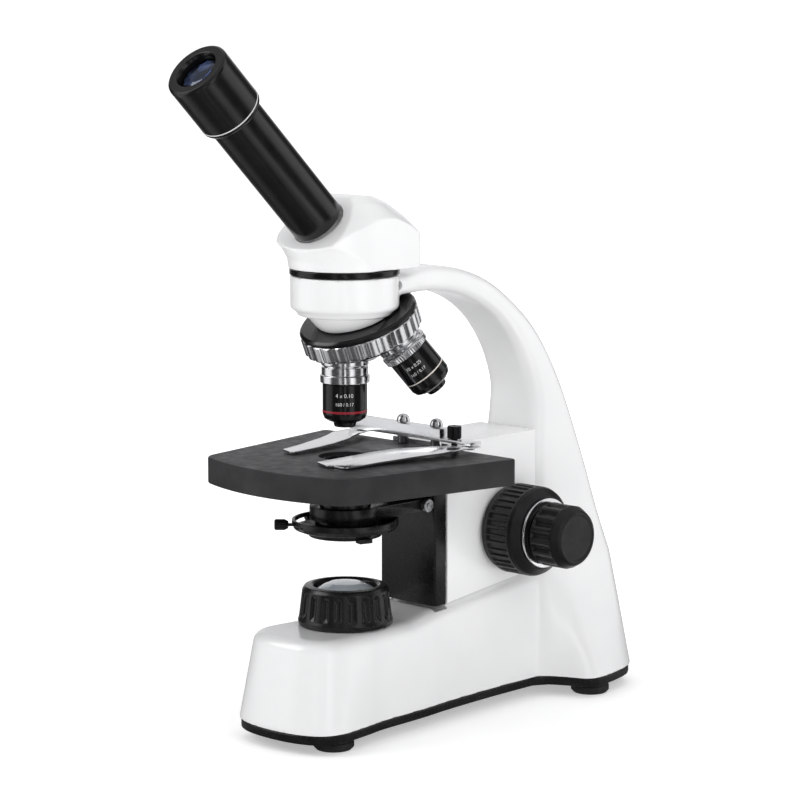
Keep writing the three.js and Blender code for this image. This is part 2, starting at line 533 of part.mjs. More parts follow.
// ---------------------------------------------------------------- nosepiece and objectives
function nosepiece() {
  const cone = tilted(turned([[0, -20.2], [19.3, -20.2], [20.6, -17.5], [23.5, -9], [0, -9]], 40));
  const underCollar = disc(22.4, 150, COLLAR_Z[0] - GAP, 40);
  const plug = common(disc(15, 190, 209, 32), tilted(disc(60, -20.2, 30)));
  const skirt = common(cone, underCollar);
  add('nosepiece_mount', cut(join(skirt, plug), disc(3.4, 150, 215, 20), tilted(disc(3.1, -30, -17.2, 24))),
    WHITE());
  add('turret_axle', turned([[0, -43.3], [4.2, -43.3], [4.2, -41.6], [2.9, -41.6], [2.9, -17.6],
    [0, -17.6]], 24), STEEL(), turretAxis);
  const lightHole = disc(4.4, -80, 0, 24);
  const inSeat = (geometry, seat) => geometry.clone()
    .applyMatrix4(new THREE.Matrix4().makeRotationX(-TURRET_TILT))
    .applyMatrix4(new THREE.Matrix4().makeRotationZ(seat * 2 * Math.PI / 3));
  const seats = [0, 1, 2];
  const body = turned([[0, -41.2], [6.5, -41.2], [17, -37.2], [24.5, -33.6], [25.5, -31.9], [25.5, -23.1],
    [28.4, -23.1], [28.4, -21.8], [27.2, -20.6], [0, -20.6]], 48);
  const seatBoss = disc(11.2, -SEAT + GAP, -30, 28);
  const thread = disc(10.4, -SEAT - 1, -SEAT + 5, 28);
  const turretBody = cut(join(body, ...seats.map((k) => inSeat(seatBoss, k))),
    ...seats.map((k) => inSeat(thread, k)), ...seats.map((k) => inSeat(lightHole, k)),
    disc(3.1, -60, 0, 24), disc(4.6, -60, -41.3, 24));
  add('turret_body', turretBody, BLACK(), turretAxis);
  const knurled = plate(grooved(28.7, 0.9, 24, 0.3), -31.6, -23.4, 1);
  add('turret_ring', cut(knurled, disc(26, -40, -20, 48)), CHROME(), turretAxis);

  const atSeat = (seat) => {
    const holder = group(turretAxis);
    holder.rotation.order = 'ZYX';
    holder.rotation.set(-TURRET_TILT, 0, seat * 2 * Math.PI / 3);
    return holder;
  };
  const objectives = [['objective_4x', 0, 50.1, 68.4], ['objective_10x', 1, 47.3, 68]];
  for (const [name, seat, shoulder, barrelEnd] of objectives) {
    const holder = atSeat(seat);
    const collar = cut(turned([[0, -shoulder + GAP], [11.6, -shoulder + GAP], [11.6, -shoulder + 3.7],
      [11, -shoulder + 4.1], [11, -SEAT - GAP], [9.9, -SEAT - GAP], [9.9, -SEAT + 4.4],
      [0, -SEAT + 4.4]], 32), disc(7, -60, -30, 24));
    add(`${name}_collar`, collar, CHROME(), holder);
    const barrel = cut(turned([[0, -barrelEnd - 2.6], [4.8, -barrelEnd - 2.6], [5.4, -barrelEnd - 0.3],
      [7.4, -barrelEnd + 0.3], [9.6, -barrelEnd + 1.6], [OBJECTIVE_R, -barrelEnd + 3.8],
      [OBJECTIVE_R, -shoulder], [6.7, -shoulder], [6.7, -44], [0, -44]], 32),
    disc(4.5, -62, -40, 24), disc(3.3, -75, -60, 20));
    add(`${name}_barrel`, barrel, BLACK(), holder);
    const lens = turned([[0, -barrelEnd - 1.8], [3, -barrelEnd - 1.6], [3, -barrelEnd + 1],
      [0, -barrelEnd + 1]], 20);
    add(`${name}_lens`, lens, GLASS(), holder);
  }
  add('port_cap', turned([[0, -47.5], [9.5, -47.5], [11, -46.4], [11, -SEAT - GAP], [9.9, -SEAT - GAP],
    [9.9, -SEAT + 4.4], [0, -SEAT + 4.4]], 28), BLACK(), atSeat(2));
}

// ---------------------------------------------------------------- head, tube and eyepiece
function headHousing() {
  const plan = new THREE.Shape();
  plan.moveTo(22.5, 26.3);
  plan.lineTo(-22.5, 26.3);
  plan.quadraticCurveTo(-25, 26.3, -25, 23.5);
  plan.lineTo(-25, -6);
  plan.bezierCurveTo(-25, -16, -20, -28, -14, -29.5);
  plan.lineTo(14, -29.5);
  plan.bezierCurveTo(20, -28, 25, -16, 25, -6);
  plan.lineTo(25, 23.5);
  plan.quadraticCurveTo(25, 26.3, 22.5, 26.3);
  const side = outline([[-26, HEAD_Z + 2.9], [27, HEAD_Z + 2.9], [27, 242], [19, 250], [9, 254.6],
    [-1.5, 255.6], [-4.5, 254.4], [-29.6, 231.6], [-29, 229.4]]);
  const dome = turned([[0, 220], [36, 220], [36, 234], [30, 240.8], [25, 245.5], [17, 251.5], [8, 256.4],
    [0, 257]], 64).translate(0, 3, 0);
  const shell = common(plate(plan, 218, 258, 8), sidePlate(side, 30), dome);
  const round = turned([[0, 221.2], [26.2, 221.2], [26.8, 226], [29.6, 231], [60, 262], [0, 262]], 48);
  const rear = block(-30, 30, 0, 30, 220, 260);
  return common(shell, join(round, rear));
}

function head() {
  const bore = inclined(disc(TUBE_R - 1.4, 10, 60, 36));
  const seat = inclined(disc(TUBE_R + GAP, TUBE_START - 8, 60, 36));
  const cavity = block(-13, 13, -13, 14, 224.5, 245);
  add('head_ring', ring(11.3, 25.8, HEAD_Z + 0.1, HEAD_Z + 2.6, 48), BLACK());
  add('head_housing', cut(headHousing(), bore, seat, cavity, disc(11, 215, 230, 28)), WHITE());
  const prism = sidePlate(outline([[-10, 226.5], [11, 226.5], [11, 243.5], [-2, 240]]), 10);
  add('head_prism', prism, GLASS());
  const tube = cut(disc(TUBE_R, TUBE_START - 7.7, TUBE_END, 40),
    disc(11.9, TUBE_START - 10, TUBE_END + 5, 36));
  add('eyepiece_tube', tube, BLACK(), tubeAxis);
  const body = cut(turned([[0, 62], [11.5, 62], [11.5, TUBE_END + GAP], [EYEPIECE_R - 0.6, TUBE_END + GAP],
    [EYEPIECE_R, TUBE_END + 1.5], [EYEPIECE_R, EYEPIECE_END - 2.5], [EYEPIECE_R - 1, EYEPIECE_END - 0.6],
    [EYEPIECE_R - 2.2, EYEPIECE_END], [0, EYEPIECE_END]], 40),
    turned([[0, 61], [10.3, 61], [10.3, 104], [9.4, 104], [9.4, 125.8], [10.6, EYEPIECE_END + 0.5],
      [0, EYEPIECE_END + 0.5]], 36));
  add('eyepiece_body', body, BLACK(), tubeAxis);
  add('eye_lens', turned([[0, 121.4], [9.2, 122], [9.2, 124.4], [5, 125.5], [0, 125.9]], 28), GLASS(),
    tubeAxis);
  add('field_lens', turned([[0, 66], [10, 66.6], [10, 69], [6, 70.6], [0, 71.2]], 28), GLASS(), tubeAxis);
  add('head_set_screw', alongX(disc(2.1, 9.5, 15, 16), ...SET_SCREW), BLACK());
}

stand();
lamp();
drive();
stage();
substage();
nosepiece();
head();

export default microscope;
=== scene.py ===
import math

import bmesh
import bpy
from mathutils import Matrix, Vector


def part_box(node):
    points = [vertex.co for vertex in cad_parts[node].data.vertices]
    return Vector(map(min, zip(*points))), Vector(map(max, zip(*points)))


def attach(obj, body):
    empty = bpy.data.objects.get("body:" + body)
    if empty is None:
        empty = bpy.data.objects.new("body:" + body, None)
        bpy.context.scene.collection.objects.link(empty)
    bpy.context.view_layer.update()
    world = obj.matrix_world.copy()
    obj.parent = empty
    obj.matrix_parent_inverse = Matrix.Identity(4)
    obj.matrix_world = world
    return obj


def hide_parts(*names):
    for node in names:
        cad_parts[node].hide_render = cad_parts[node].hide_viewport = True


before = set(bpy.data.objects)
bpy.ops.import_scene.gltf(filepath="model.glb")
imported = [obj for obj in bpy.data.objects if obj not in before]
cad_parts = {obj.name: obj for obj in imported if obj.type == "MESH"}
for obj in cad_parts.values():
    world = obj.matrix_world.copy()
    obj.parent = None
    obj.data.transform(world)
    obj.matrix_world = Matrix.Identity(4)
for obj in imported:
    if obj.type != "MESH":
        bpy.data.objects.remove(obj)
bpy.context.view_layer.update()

# The optical axis is x = 0, y = AXIS_Y. Shapes are written in millimetres from it, with z = 0 at the floor.
lens_low, lens_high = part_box("lamp_lens")
AXIS_Y = (lens_low.y + lens_high.y) / 2
MODEL = Matrix.Translation((0, AXIS_Y, 0)) @ Matrix.Scale(0.001, 4)
# The turret turns about an axis that leans from APEX_Z on the optical axis, and the tube leans from TUBE_Z.
TURRET_TILT = math.radians(23)
APEX_Z = 217.4
TURRET = MODEL @ Matrix.Translation((0, 0, APEX_Z)) @ Matrix.Rotation(TURRET_TILT, 4, "X")
TUBE_LEAN = math.radians(46)
TUBE_Z = 227
TUBE = MODEL @ Matrix.Translation((0, 0, TUBE_Z)) @ Matrix.Rotation(TUBE_LEAN, 4, "X")
# Axes along X, as (y, z): the focus drive, the brightness dial and the set screw of the collar.
DRIVE = (94.2, 88.3)
DIAL = (150, 22)
SET_SCREW = (16.5, 213.1)
# The power inlet's axis runs along Y, at (x, z).
INLET = (16, 20)
# The top of the black pan under the base, and the radius of the base's top edge.
PAN_TOP = 9.5
BASE_FILLET = 6.5
# The rear edge of the column in plan, at the pan and at the height where the arm's rows begin.
REAR_LOW = 178.9
REAR_HIGH = 171.5
ARM_START = 66
STAGE_TOP = 132.4
# What stands on the clip bar: the row's y, the nuts' x by side and the thumb screw's x.
CLIP_ROW_Y = 46.7
NUT_X = {"left": -7.1, "right": 14.9}
THUMB_SCREW_X = 26.6
BLADE_STUD_X = 36.5
# The filter swings about a pin at this x, and the iris lever points this way in plan.
FILTER_PIN_X = -21
LEVER_ANGLE = -0.75 * math.pi
SIDES = (("left", -1), ("right", 1))


# ---- materials
class Shader:
    """A Principled material with its detail made from noise in the piece's own coordinates, in metres."""

    def __init__(self, name, color, roughness, metallic=0.0, **plain):
        self.material = bpy.data.materials.new(name)
        self.material.use_nodes = True
        self.tree = self.material.node_tree
        self.shader = self.tree.nodes["Principled BSDF"]
        self.shader.inputs["Base Color"].default_value = (*color, 1)
        self.shader.inputs["Roughness"].default_value = roughness
        self.shader.inputs["Metallic"].default_value = metallic
        for key, value in plain.items():
            self.shader.inputs[key.replace("_", " ")].default_value = value
        self.place = self.tree.nodes.new("ShaderNodeTexCoord").outputs["Object"]

    def noise(self, scale, detail=3.0, stretch=(1, 1, 1)):
        mapping = self.tree.nodes.new("ShaderNodeMapping")
        mapping.inputs["Scale"].default_value = stretch
        self.tree.links.new(self.place, mapping.inputs["Vector"])
        noise = self.tree.nodes.new("ShaderNodeTexNoise")
        noise.inputs["Scale"].default_value = scale
        noise.inputs["Detail"].default_value = detail
        self.tree.links.new(mapping.outputs["Vector"], noise.inputs["Vector"])
        return noise.outputs["Fac"]

    def mapped(self, value, low, high, start=0.3, end=0.7):
        node = self.tree.nodes.new("ShaderNodeMapRange")
        node.inputs["From Min"].default_value = start
        node.inputs["From Max"].default_value = end
        node.inputs["To Min"].default_value = low
        node.inputs["To Max"].default_value = high
        self.tree.links.new(value, node.inputs["Value"])
        return node.outputs["Result"]

    def vary_color(self, first, second, value, start=0.35, end=0.65):
        ramp = self.tree.nodes.new("ShaderNodeValToRGB")
        ramp.color_ramp.elements[0].position = start
        ramp.color_ramp.elements[0].color = (*first, 1)
        ramp.color_ramp.elements[1].position = end
        ramp.color_ramp.elements[1].color = (*second, 1)
        self.tree.links.new(value, ramp.inputs["Fac"])
        self.tree.links.new(ramp.outputs["Color"], self.shader.inputs["Base Color"])
        return self

    def vary_roughness(self, low, high, value, start=0.3, end=0.7):
        self.tree.links.new(self.mapped(value, low, high, start, end), self.shader.inputs["Roughness"])
        return self

    def bump(self, *layers):
        """Each layer is (value, strength, depth in metres)."""
        normal = None
        for value, strength, depth in layers:
            node = self.tree.nodes.new("ShaderNodeBump")
            node.inputs["Strength"].default_value = strength
            node.inputs["Distance"].default_value = depth
            self.tree.links.new(value, node.inputs["Height"])
            if normal is not None:
                self.tree.links.new(normal, node.inputs["Normal"])
            normal = node.outputs["Normal"]
        self.tree.links.new(normal, self.shader.inputs["Normal"])
        return self


def gloss_white():
    s = Shader("white_enamel", (0.87, 0.872, 0.87), 0.2, Coat_Weight=0.4, Coat_Roughness=0.06)
    s.vary_color((0.86, 0.863, 0.862), (0.88, 0.882, 0.88), s.noise(40, 3))
    s.vary_roughness(0.2, 0.26, s.noise(60, 2), 0.1, 0.9)
    return s.bump((s.noise(700, 2), 0.04, 0.00001)).material


def satin_black(name, level=0.005, rough=(0.2, 0.32), grain=2600, depth=0.00001, shine=0.3):
    s = Shader(name, (level, level, level * 1.05), 0.3, Specular_IOR_Level=shine)
    s.vary_color((level * 0.8,) * 3, (level * 1.35,) * 3, s.noise(90, 5))
    s.vary_roughness(*rough, s.noise(240, 5))
    return s.bump((s.noise(grain, 2), 0.12, depth)).material


def moulded_black():
    s = Shader("moulded_black", (0.007, 0.007, 0.0075), 0.4, Specular_IOR_Level=0.36)
    s.vary_color((0.005, 0.005, 0.0055), (0.01, 0.01, 0.0105), s.noise(130, 6))
    s.vary_roughness(0.28, 0.46, s.noise(330, 6))
    return s.bump((s.noise(3200, 2), 0.35, 0.00003), (s.noise(500, 3), 0.1, 0.00005)).material


def stage_paint():
    s = Shader("stage_powder_coat", (0.025, 0.025, 0.026), 0.5, Specular_IOR_Level=0.28)
    s.vary_color((0.02, 0.02, 0.0212), (0.03, 0.03, 0.0312), s.noise(60, 6))
    s.vary_roughness(0.42, 0.58, s.noise(180, 5))
    return s.bump((s.noise(2100, 2), 0.55, 0.00005), (s.noise(5200, 1), 0.3, 0.00002)).material


def chrome():
    s = Shader("bright_chrome", (0.83, 0.84, 0.85), 0.12, metallic=1.0)
    s.vary_color((0.78, 0.79, 0.8), (0.88, 0.885, 0.89), s.noise(70, 4))
    s.vary_roughness(0.07, 0.24, s.noise(420, 6, (1, 1, 5)))
    return s.bump((s.noise(1500, 4, (1, 1, 8)), 0.08, 0.00002)).material


def spring_steel():
    s = Shader("spring_steel", (0.72, 0.73, 0.74), 0.22, metallic=1.0)
    s.vary_color((0.72, 0.73, 0.74), (0.78, 0.785, 0.79), s.noise(45, 4, (1, 0.25, 1)))
    s.vary_roughness(0.12, 0.24, s.noise(500, 5, (1, 0.08, 1)))
    return s.bump((s.noise(900, 3, (1, 0.05, 1)), 0.05, 0.00001)).material


def turned_steel():
    s = Shader("turned_steel", (0.55, 0.56, 0.57), 0.3, metallic=1.0)
    s.vary_roughness(0.22, 0.42, s.noise(900, 5, (0.1, 1, 1)))
    return s.bump((s.noise(2400, 3, (0.1, 1, 1)), 0.15, 0.00002)).material


def brass():
    s = Shader("cut_brass", (0.62, 0.45, 0.19), 0.3, metallic=1.0)
    s.vary_color((0.52, 0.37, 0.15), (0.7, 0.53, 0.25), s.noise(120, 5))
    s.vary_roughness(0.24, 0.45, s.noise(600, 5))
    return s.bump((s.noise(2000, 3), 0.15, 0.00002)).material


def rubber():
    s = Shader("foot_rubber", (0.012, 0.012, 0.012), 0.8)
    s.vary_color((0.008, 0.008, 0.008), (0.022, 0.022, 0.021), s.noise(160, 5))
    s.vary_roughness(0.65, 0.9, s.noise(420, 5))
    return s.bump((s.noise(2600, 3), 0.5, 0.00006)).material


def board_green():
    s = Shader("board_lacquer", (0.02, 0.14, 0.06), 0.35)
    s.vary_color((0.015, 0.11, 0.045), (0.03, 0.18, 0.08), s.noise(260, 2, (1, 6, 1)))
    s.vary_roughness(0.25, 0.45, s.noise(300, 4))
    return s.bump((s.noise(1200, 2, (6, 1, 1)), 0.3, 0.00003)).material


def optic(name, tint, rough=0.015):
    s = Shader(name, tint, rough, Transmission_Weight=1.0, IOR=1.5, Coat_Weight=0.5, Coat_Roughness=0.02,
               Coat_Tint=(0.55, 0.7, 1.0, 1))
    s.vary_roughness(rough, rough * 3, s.noise(350, 5))
    return s.bump((s.noise(120, 2), 0.02, 0.00003)).material


def frosted():
    s = Shader("lamp_glass", (0.74, 0.82, 0.9), 0.12, Transmission_Weight=0.3, IOR=1.5,
               Coat_Weight=1.0, Coat_Roughness=0.03)
    s.vary_color((0.7, 0.79, 0.88), (0.8, 0.87, 0.93), s.noise(60, 2))
    s.vary_roughness(0.1, 0.18, s.noise(350, 5))
    return s.bump((s.noise(160, 2), 0.03, 0.00003)).material


def band(name, color, rough):
    s = Shader(name, color, rough)
    s.vary_color(tuple(c * 0.85 for c in color), color, s.noise(400, 4))
    s.vary_roughness(rough * 0.8, rough * 1.3, s.noise(500, 4))
    return s.bump((s.noise(2500, 2), 0.2, 0.00002)).material


WHITE = gloss_white()
TUBE_BLACK = satin_black("tube_anodised", 0.004, (0.2, 0.26), 4200, 0.000006, 0.5)
GLOSS_BLACK = satin_black("turret_lacquer", 0.005, (0.1, 0.2), 1800, 0.00001, 0.4)
BLACK = satin_black("satin_black_paint", 0.007, (0.2, 0.32), shine=0.4)
MATTE_BLACK = satin_black("optical_black", 0.003, (0.6, 0.8), 5200, 0.00002)
PLASTIC = moulded_black()
STAGE = stage_paint()
CHROME = chrome()
SPRING = spring_steel()
STEEL = turned_steel()
BRASS = brass()
RUBBER = rubber()
BOARD = board_green()
GLASS = optic("clear_glass", (0.93, 0.97, 1.0))
COATED = optic("coated_glass", (0.3, 0.34, 0.46))
LAMP_GLASS = frosted()
RED = band("red_enamel", (0.32, 0.008, 0.02), 0.3)
PALE = band("pale_enamel", (0.8, 0.74, 0.68), 0.35)
MARKING = band("engraved_white", (0.75, 0.75, 0.74), 0.5)
PALE_RING = band("ivory_enamel", (0.7, 0.7, 0.69), 0.35)


# ---- mesh helpers
def finished(name, bm, body, material, nodes=(), sharp=38):
    """Turns a bmesh in row metres into a smooth-shaded piece riding on a CAD body."""
    bmesh.ops.remove_doubles(bm, verts=bm.verts, dist=1e-7)
    bmesh.ops.recalc_face_normals(bm, faces=bm.faces)
    limit = math.radians(sharp)
    for face in bm.faces:
        face.smooth = True
    for edge in bm.edges:
        edge.smooth = len(edge.link_faces) == 2 and edge.calc_face_angle(0) < limit
    mesh = bpy.data.meshes.new(name)
    bm.to_mesh(mesh)
    bm.free()
    obj = bpy.data.objects.new(name, mesh)
    bpy.context.scene.collection.objects.link(obj)
    mesh.materials.append(material)
    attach(obj, body)
    if nodes:
        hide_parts(*nodes)
    return obj


def rounded(profile, radius, closed=False):
    """The polyline with each of its corners turned into a small curve."""
    out = []
    count = len(profile)
    for i, point in enumerate(profile):
        here = Vector(point)
        if not closed and i in (0, count - 1):
            out.append(here)
            continue
        back = Vector(profile[i - 1]) - here
        on = Vector(profile[(i + 1) % count]) - here
        angle = back.angle(on)
        if angle > math.radians(172):
            out.append(here)
            continue
        reach = min(radius / math.tan(angle / 2), 0.46 * back.length, 0.46 * on.length)
        first = here + back.normalized() * reach
        last = here + on.normalized() * reach
        for step in range(5):
            t = step / 4
            out.append(first * (1 - t) ** 2 + here * 2 * t * (1 - t) + last * t ** 2)
    return out


def refined(profile, step, closed=False):
    """The polyline with no side longer than step."""
    out = []
    pairs = list(zip(profile, profile[1:] + profile[:1])) if closed else list(zip(profile, profile[1:]))
    for a, b in pairs:
        parts = max(1, math.ceil((Vector(b) - Vector(a)).length / step))
        out += [Vector(a).lerp(Vector(b), k / parts) for k in range(parts)]
    return out if closed else out + [Vector(profile[-1])]


def turned(profile, radius=0.3, segments=96, closed=False, step=None, shape=None):
    """A solid of revolution about Z from (r, z) pairs. shape(r, z, angle) may change the radius."""
    points = rounded(profile, radius, closed) if radius else [Vector(p) for p in profile]
    if step:
        points = refined(points, step, closed)
    bm = bmesh.new()
    rings = []
    for r, z in points:
        if r < 1e-6:
            rings.append([bm.verts.new((0, 0, z))])
            continue
        ring = []
        for k in range(segments):
            a = 2 * math.pi * k / segments
            reach = shape(r, z, a) if shape else r
            ring.append(bm.verts.new((reach * math.cos(a), reach * math.sin(a), z)))
        rings.append(ring)
    pairs = list(zip(rings, rings[1:] + rings[:1])) if closed else list(zip(rings, rings[1:]))
    for low, high in pairs:
        for k in range(segments):
            n = (k + 1) % segments
            corners = [low[k % len(low)], low[n % len(low)], high[n % len(high)], high[k % len(high)]]
            unique = list(dict.fromkeys(corners))
            if len(unique) > 2:
                bm.faces.new(unique)
    return bm


def prism(points, low, high, axis="Z"):
    """A plan outline raised along an axis: Z from (x, y), X from (y, z), Y from (x, z)."""
    order = {"Z": lambda u, v, w: (u, v, w), "X": lambda u, v, w: (w, u, v), "Y": lambda u, v, w: (u, w, v)}
    place = order[axis]
    bm = bmesh.new()
    bottom = [bm.verts.new(place(u, v, low)) for u, v in points]
    top = [bm.verts.new(place(u, v, high)) for u, v in points]
    count = len(points)
    for k in range(count):
        n = (k + 1) % count
        bm.faces.new((bottom[k], bottom[n], top[n], top[k]))
    bm.faces.new(bottom[::-1])
    bm.faces.new(top)
    bmesh.ops.recalc_face_normals(bm, faces=bm.faces)
    return bm


def box(x0, x1, y0, y1, z0, z1):
    return prism([(x0, y0), (x1, y0), (x1, y1), (x0, y1)], z0, z1)


def bevelled(bm, width, segments=3, angle=35):
    limit = math.radians(angle)
    edges = [e for e in bm.edges if len(e.link_faces) == 2 and e.calc_face_angle(0) > limit]
    bmesh.ops.bevel(bm, geom=edges, offset=width, segments=segments, profile=0.6, affect="EDGES",
                    clamp_overlap=True)
    return bm


def moved(bm, matrix):
    bm.transform(matrix)
    return bm


def merged(first, *rest):
    """Several closed bmeshes as one."""
    for bm in rest:
        mesh = bpy.data.meshes.new("merge")
        bm.to_mesh(mesh)
        bm.free()
        first.from_mesh(mesh)
        bpy.data.meshes.remove(mesh)
    return first


def plain_object(bm):
    bmesh.ops.recalc_face_normals(bm, faces=bm.faces)
    mesh = bpy.data.meshes.new("work")
    bm.to_mesh(mesh)
    bm.free()
    obj = bpy.data.objects.new("work", mesh)
    bpy.context.scene.collection.objects.link(obj)
    return obj


def evaluated(obj, *modifiers):
    """The object's mesh after the modifiers, each (type, settings), as a bmesh. The object is used up."""
    for kind, settings in modifiers:
        modifier = obj.modifiers.new(kind, kind)
        for key, value in settings.items():
            setattr(modifier, key, value)
    graph = bpy.context.evaluated_depsgraph_get()
    mesh = bpy.data.meshes.new_from_object(obj.evaluated_get(graph))
    bm = bmesh.new()
    bm.from_mesh(mesh)
    bpy.data.meshes.remove(mesh)
    bpy.data.objects.remove(obj)
    return bm


def boolean(first, second, operation):
    tool = plain_object(second)
    settings = {"object": tool, "operation": operation, "solver": "EXACT"}
    result = evaluated(plain_object(first), ("BOOLEAN", settings))
    bpy.data.objects.remove(tool)
    return result


def melted(bm, voxel, rounds, factor=0.5):
    """One skin over everything in the bmesh, with its edges softened."""
    return evaluated(plain_object(bm), ("REMESH", {"mode": "VOXEL", "voxel_size": voxel}),
                     ("SMOOTH", {"factor": factor, "iterations": rounds}))


def dressed(node, body, material, width, segments=3):
    """A copy of a CAD node with its edges rounded."""
    bm = bmesh.new()
    bm.from_mesh(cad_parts[node].data)
    bmesh.ops.remove_doubles(bm, verts=bm.verts, dist=1e-6)
    bmesh.ops.dissolve_limit(bm, angle_limit=math.radians(1.5), verts=bm.verts, edges=bm.edges)
    bevelled(bm, width * 0.001, segments)
    return finished(f"{node}_dressed", bm, body, material, [node], 50)


def spline(rows, steps):
    """A smooth curve through rows of numbers, with so many steps between neighbours."""
    out = []
    last = len(rows) - 1
    for i in range(last):
        a, b, c, d = rows[max(i - 1, 0)], rows[i], rows[i + 1], rows[min(i + 2, last)]
        for k in range(steps):
            t = k / steps
            out.append([0.5 * (2 * q + (r - p) * t + (2 * p - 5 * q + 4 * r - s) * t * t
                               + (3 * q - p - 3 * r + s) * t ** 3) for p, q, r, s in zip(a, b, c, d)])
    return out + [list(rows[last])]


def bezier(steps, *points):
    """Points along a Bezier curve, without its first."""
    degree = len(points) - 1
    out = []
    for i in range(1, steps + 1):
        t = i / steps
        weights = [math.comb(degree, k) * t ** k * (1 - t) ** (degree - k) for k in range(degree + 1)]
        out.append(tuple(sum(w * p[axis] for w, p in zip(weights, points)) for axis in (0, 1)))
    return out


def height_at(table, y):
    """The height at y on a line through (y, z) pairs, level beyond its ends."""
    for (y0, z0), (y1, z1) in zip(table, table[1:]):
        if y <= y1:
            return z0 + (z1 - z0) * max(0, (y - y0) / (y1 - y0))
    return table[-1][1]


def both_sides(right):
    """The right half of an outline, front to rear, with its mirror image after it."""
    return right + [(-x, y) for x, y in reversed(right) if x > 1e-6]


def along_x(centre, sign=1):
    """The frame of a piece turned about an X axis through (y, z), its +Z pointing to sign X."""
    return Matrix.Translation((0, *centre)) @ Matrix.Rotation(sign * math.pi / 2, 4, "Y")


def walls(rings):
    """The side faces between closed rings of points, and the rings' vertices."""
    bm = bmesh.new()
    grid = [[bm.verts.new(p) for p in ring] for ring in rings]
    count = len(grid[0])
    for low, high in zip(grid, grid[1:]):
        for k in range(count):
            n = (k + 1) % count
            bm.faces.new((low[k], low[n], high[n], high[k]))
    return bm, grid


def loft(rings):
    """A closed solid through the rings."""
    bm, grid = walls(rings)
    bm.faces.new(grid[0][::-1])
    bm.faces.new(grid[-1])
    bmesh.ops.recalc_face_normals(bm, faces=bm.faces)
    return bm


# ---- stand
# Right half of the base in plan, front to rear, as (x, y): at the pan, and where the top edge's curve begins.
BASE_BOTTOM = [
    (0, -50.9), (9, -50.4), (17, -48.9), (24, -46), (28.6, -42.2), (31, -37), (31.8, -31), (31.2, -24),
    (29.4, -12), (27.4, 0), (25.8, 24.5), (24.6, 36), (23, 50), (21, 80), (20, 112), (20, 130),
]
BASE_UPPER = [
    (0, -44.6), (8, -44.2), (14.8, -43), (20.6, -40.4), (24.4, -37), (26.4, -32.6), (27.2, -27.6), (27, -21),
    (26, -10), (24.8, 0), (22.9, 24.5), (21.8, 36), (20.4, 50), (19.2, 80), (19, 112), (19, 130),
]
# The height of the base's top along y.
BASE_TOPS = [(-60, 52), (24.5, 52), (36, 53.8), (50, 55.8), (80, 59.8), (112, 63.8), (140, 67.3)]
# Right half of the column's foot in plan, front to rear.
FLARE = [
    (0, 112), (12, 112), (19, 114), (24, 119), (32, 123.5), (40.5, 127), (43.8, 132), (43.6, 140),
    (41.6, 151), (37, 165), (29, 174), (15, 178.3), (0, REAR_LOW),
]


def inset(outline, distance):
    """The right half of an outline moved inwards, but never across the middle."""
    out = []
    for i, (x, y) in enumerate(outline):
        before, after = outline[max(i - 1, 0)], outline[min(i + 1, len(outline) - 1)]
        along = (Vector(after) - Vector(before)).normalized()
        out.append((max(x - along.y * distance, 0), y + along.x * distance))
    return out


def base_skin():
    """The base: sides that lean in from the pan, and a rounded edge up to the sloping top."""
    bottom = [tuple(p) for p in spline(BASE_BOTTOM, 5)]
    upper = [tuple(p) for p in spline(BASE_UPPER, 5)]
    edge = [height_at(BASE_TOPS, y) - BASE_FILLET for _, y in upper]
    rings = []
    for share in (0, 0.3, 0.6, 0.85, 1):
        rings.append([(b[0] + (u[0] - b[0]) * share, b[1] + (u[1] - b[1]) * share,
                       PAN_TOP + (z - PAN_TOP) * share) for b, u, z in zip(bottom, upper, edge)])
    for k in range(1, 7):
        a = k / 6 * math.pi / 2
        ring = inset(upper, BASE_FILLET * (1 - math.cos(a)))
        rings.append([(x, y, z + BASE_FILLET * math.sin(a)) for (x, y), z in zip(ring, edge)])
    bm, grid = walls([ring + [(-x, y, z) for x, y, z in reversed(ring[1:])] for ring in rings])
    half = len(rings[0])
    count = len(grid[0])
    for ring in (grid[0], grid[-1]):
        for k in range(1, half):
            other = [ring[(count - k) % count], ring[(count - k + 1) % count]]
            corners = list(dict.fromkeys([ring[k - 1], ring[k], other[0], other[1]]))
            if len(corners) > 2:
                bm.faces.new(corners)
    bmesh.ops.recalc_face_normals(bm, faces=bm.faces)
    return bm


def rounded_rectangle(half, deep, radius, steps=8):
    """Right half of the outline, from (0, -deep) to (0, deep)."""
    points = [(0, -deep)]
    for cx, cy, start in ((half - radius, radius - deep, -90), (half - radius, deep - radius, 0)):
        for k in range(steps + 1):
            a = math.radians(start + 90 * k / steps)
            points.append((cx + radius * math.cos(a), cy + radius * math.sin(a)))
    return points + [(0, deep)]


def half_section(points, count):
    """Right half outline resampled to so many points, mirrored into a closed ring."""
    lengths = [0]
    for a, b in zip(points, points[1:]):
        lengths.append(lengths[-1] + (Vector(b) - Vector(a)).length)
    out = []
    i = 0
    for k in range(count + 1):
        target = lengths[-1] * k / count
        while i + 2 < len(points) and lengths[i + 1] < target:
            i += 1
        t = min(1, (target - lengths[i]) / max(lengths[i + 1] - lengths[i], 1e-9))
        out.append(tuple(Vector(points[i]).lerp(Vector(points[i + 1]), t)))
    return both_sides(out)


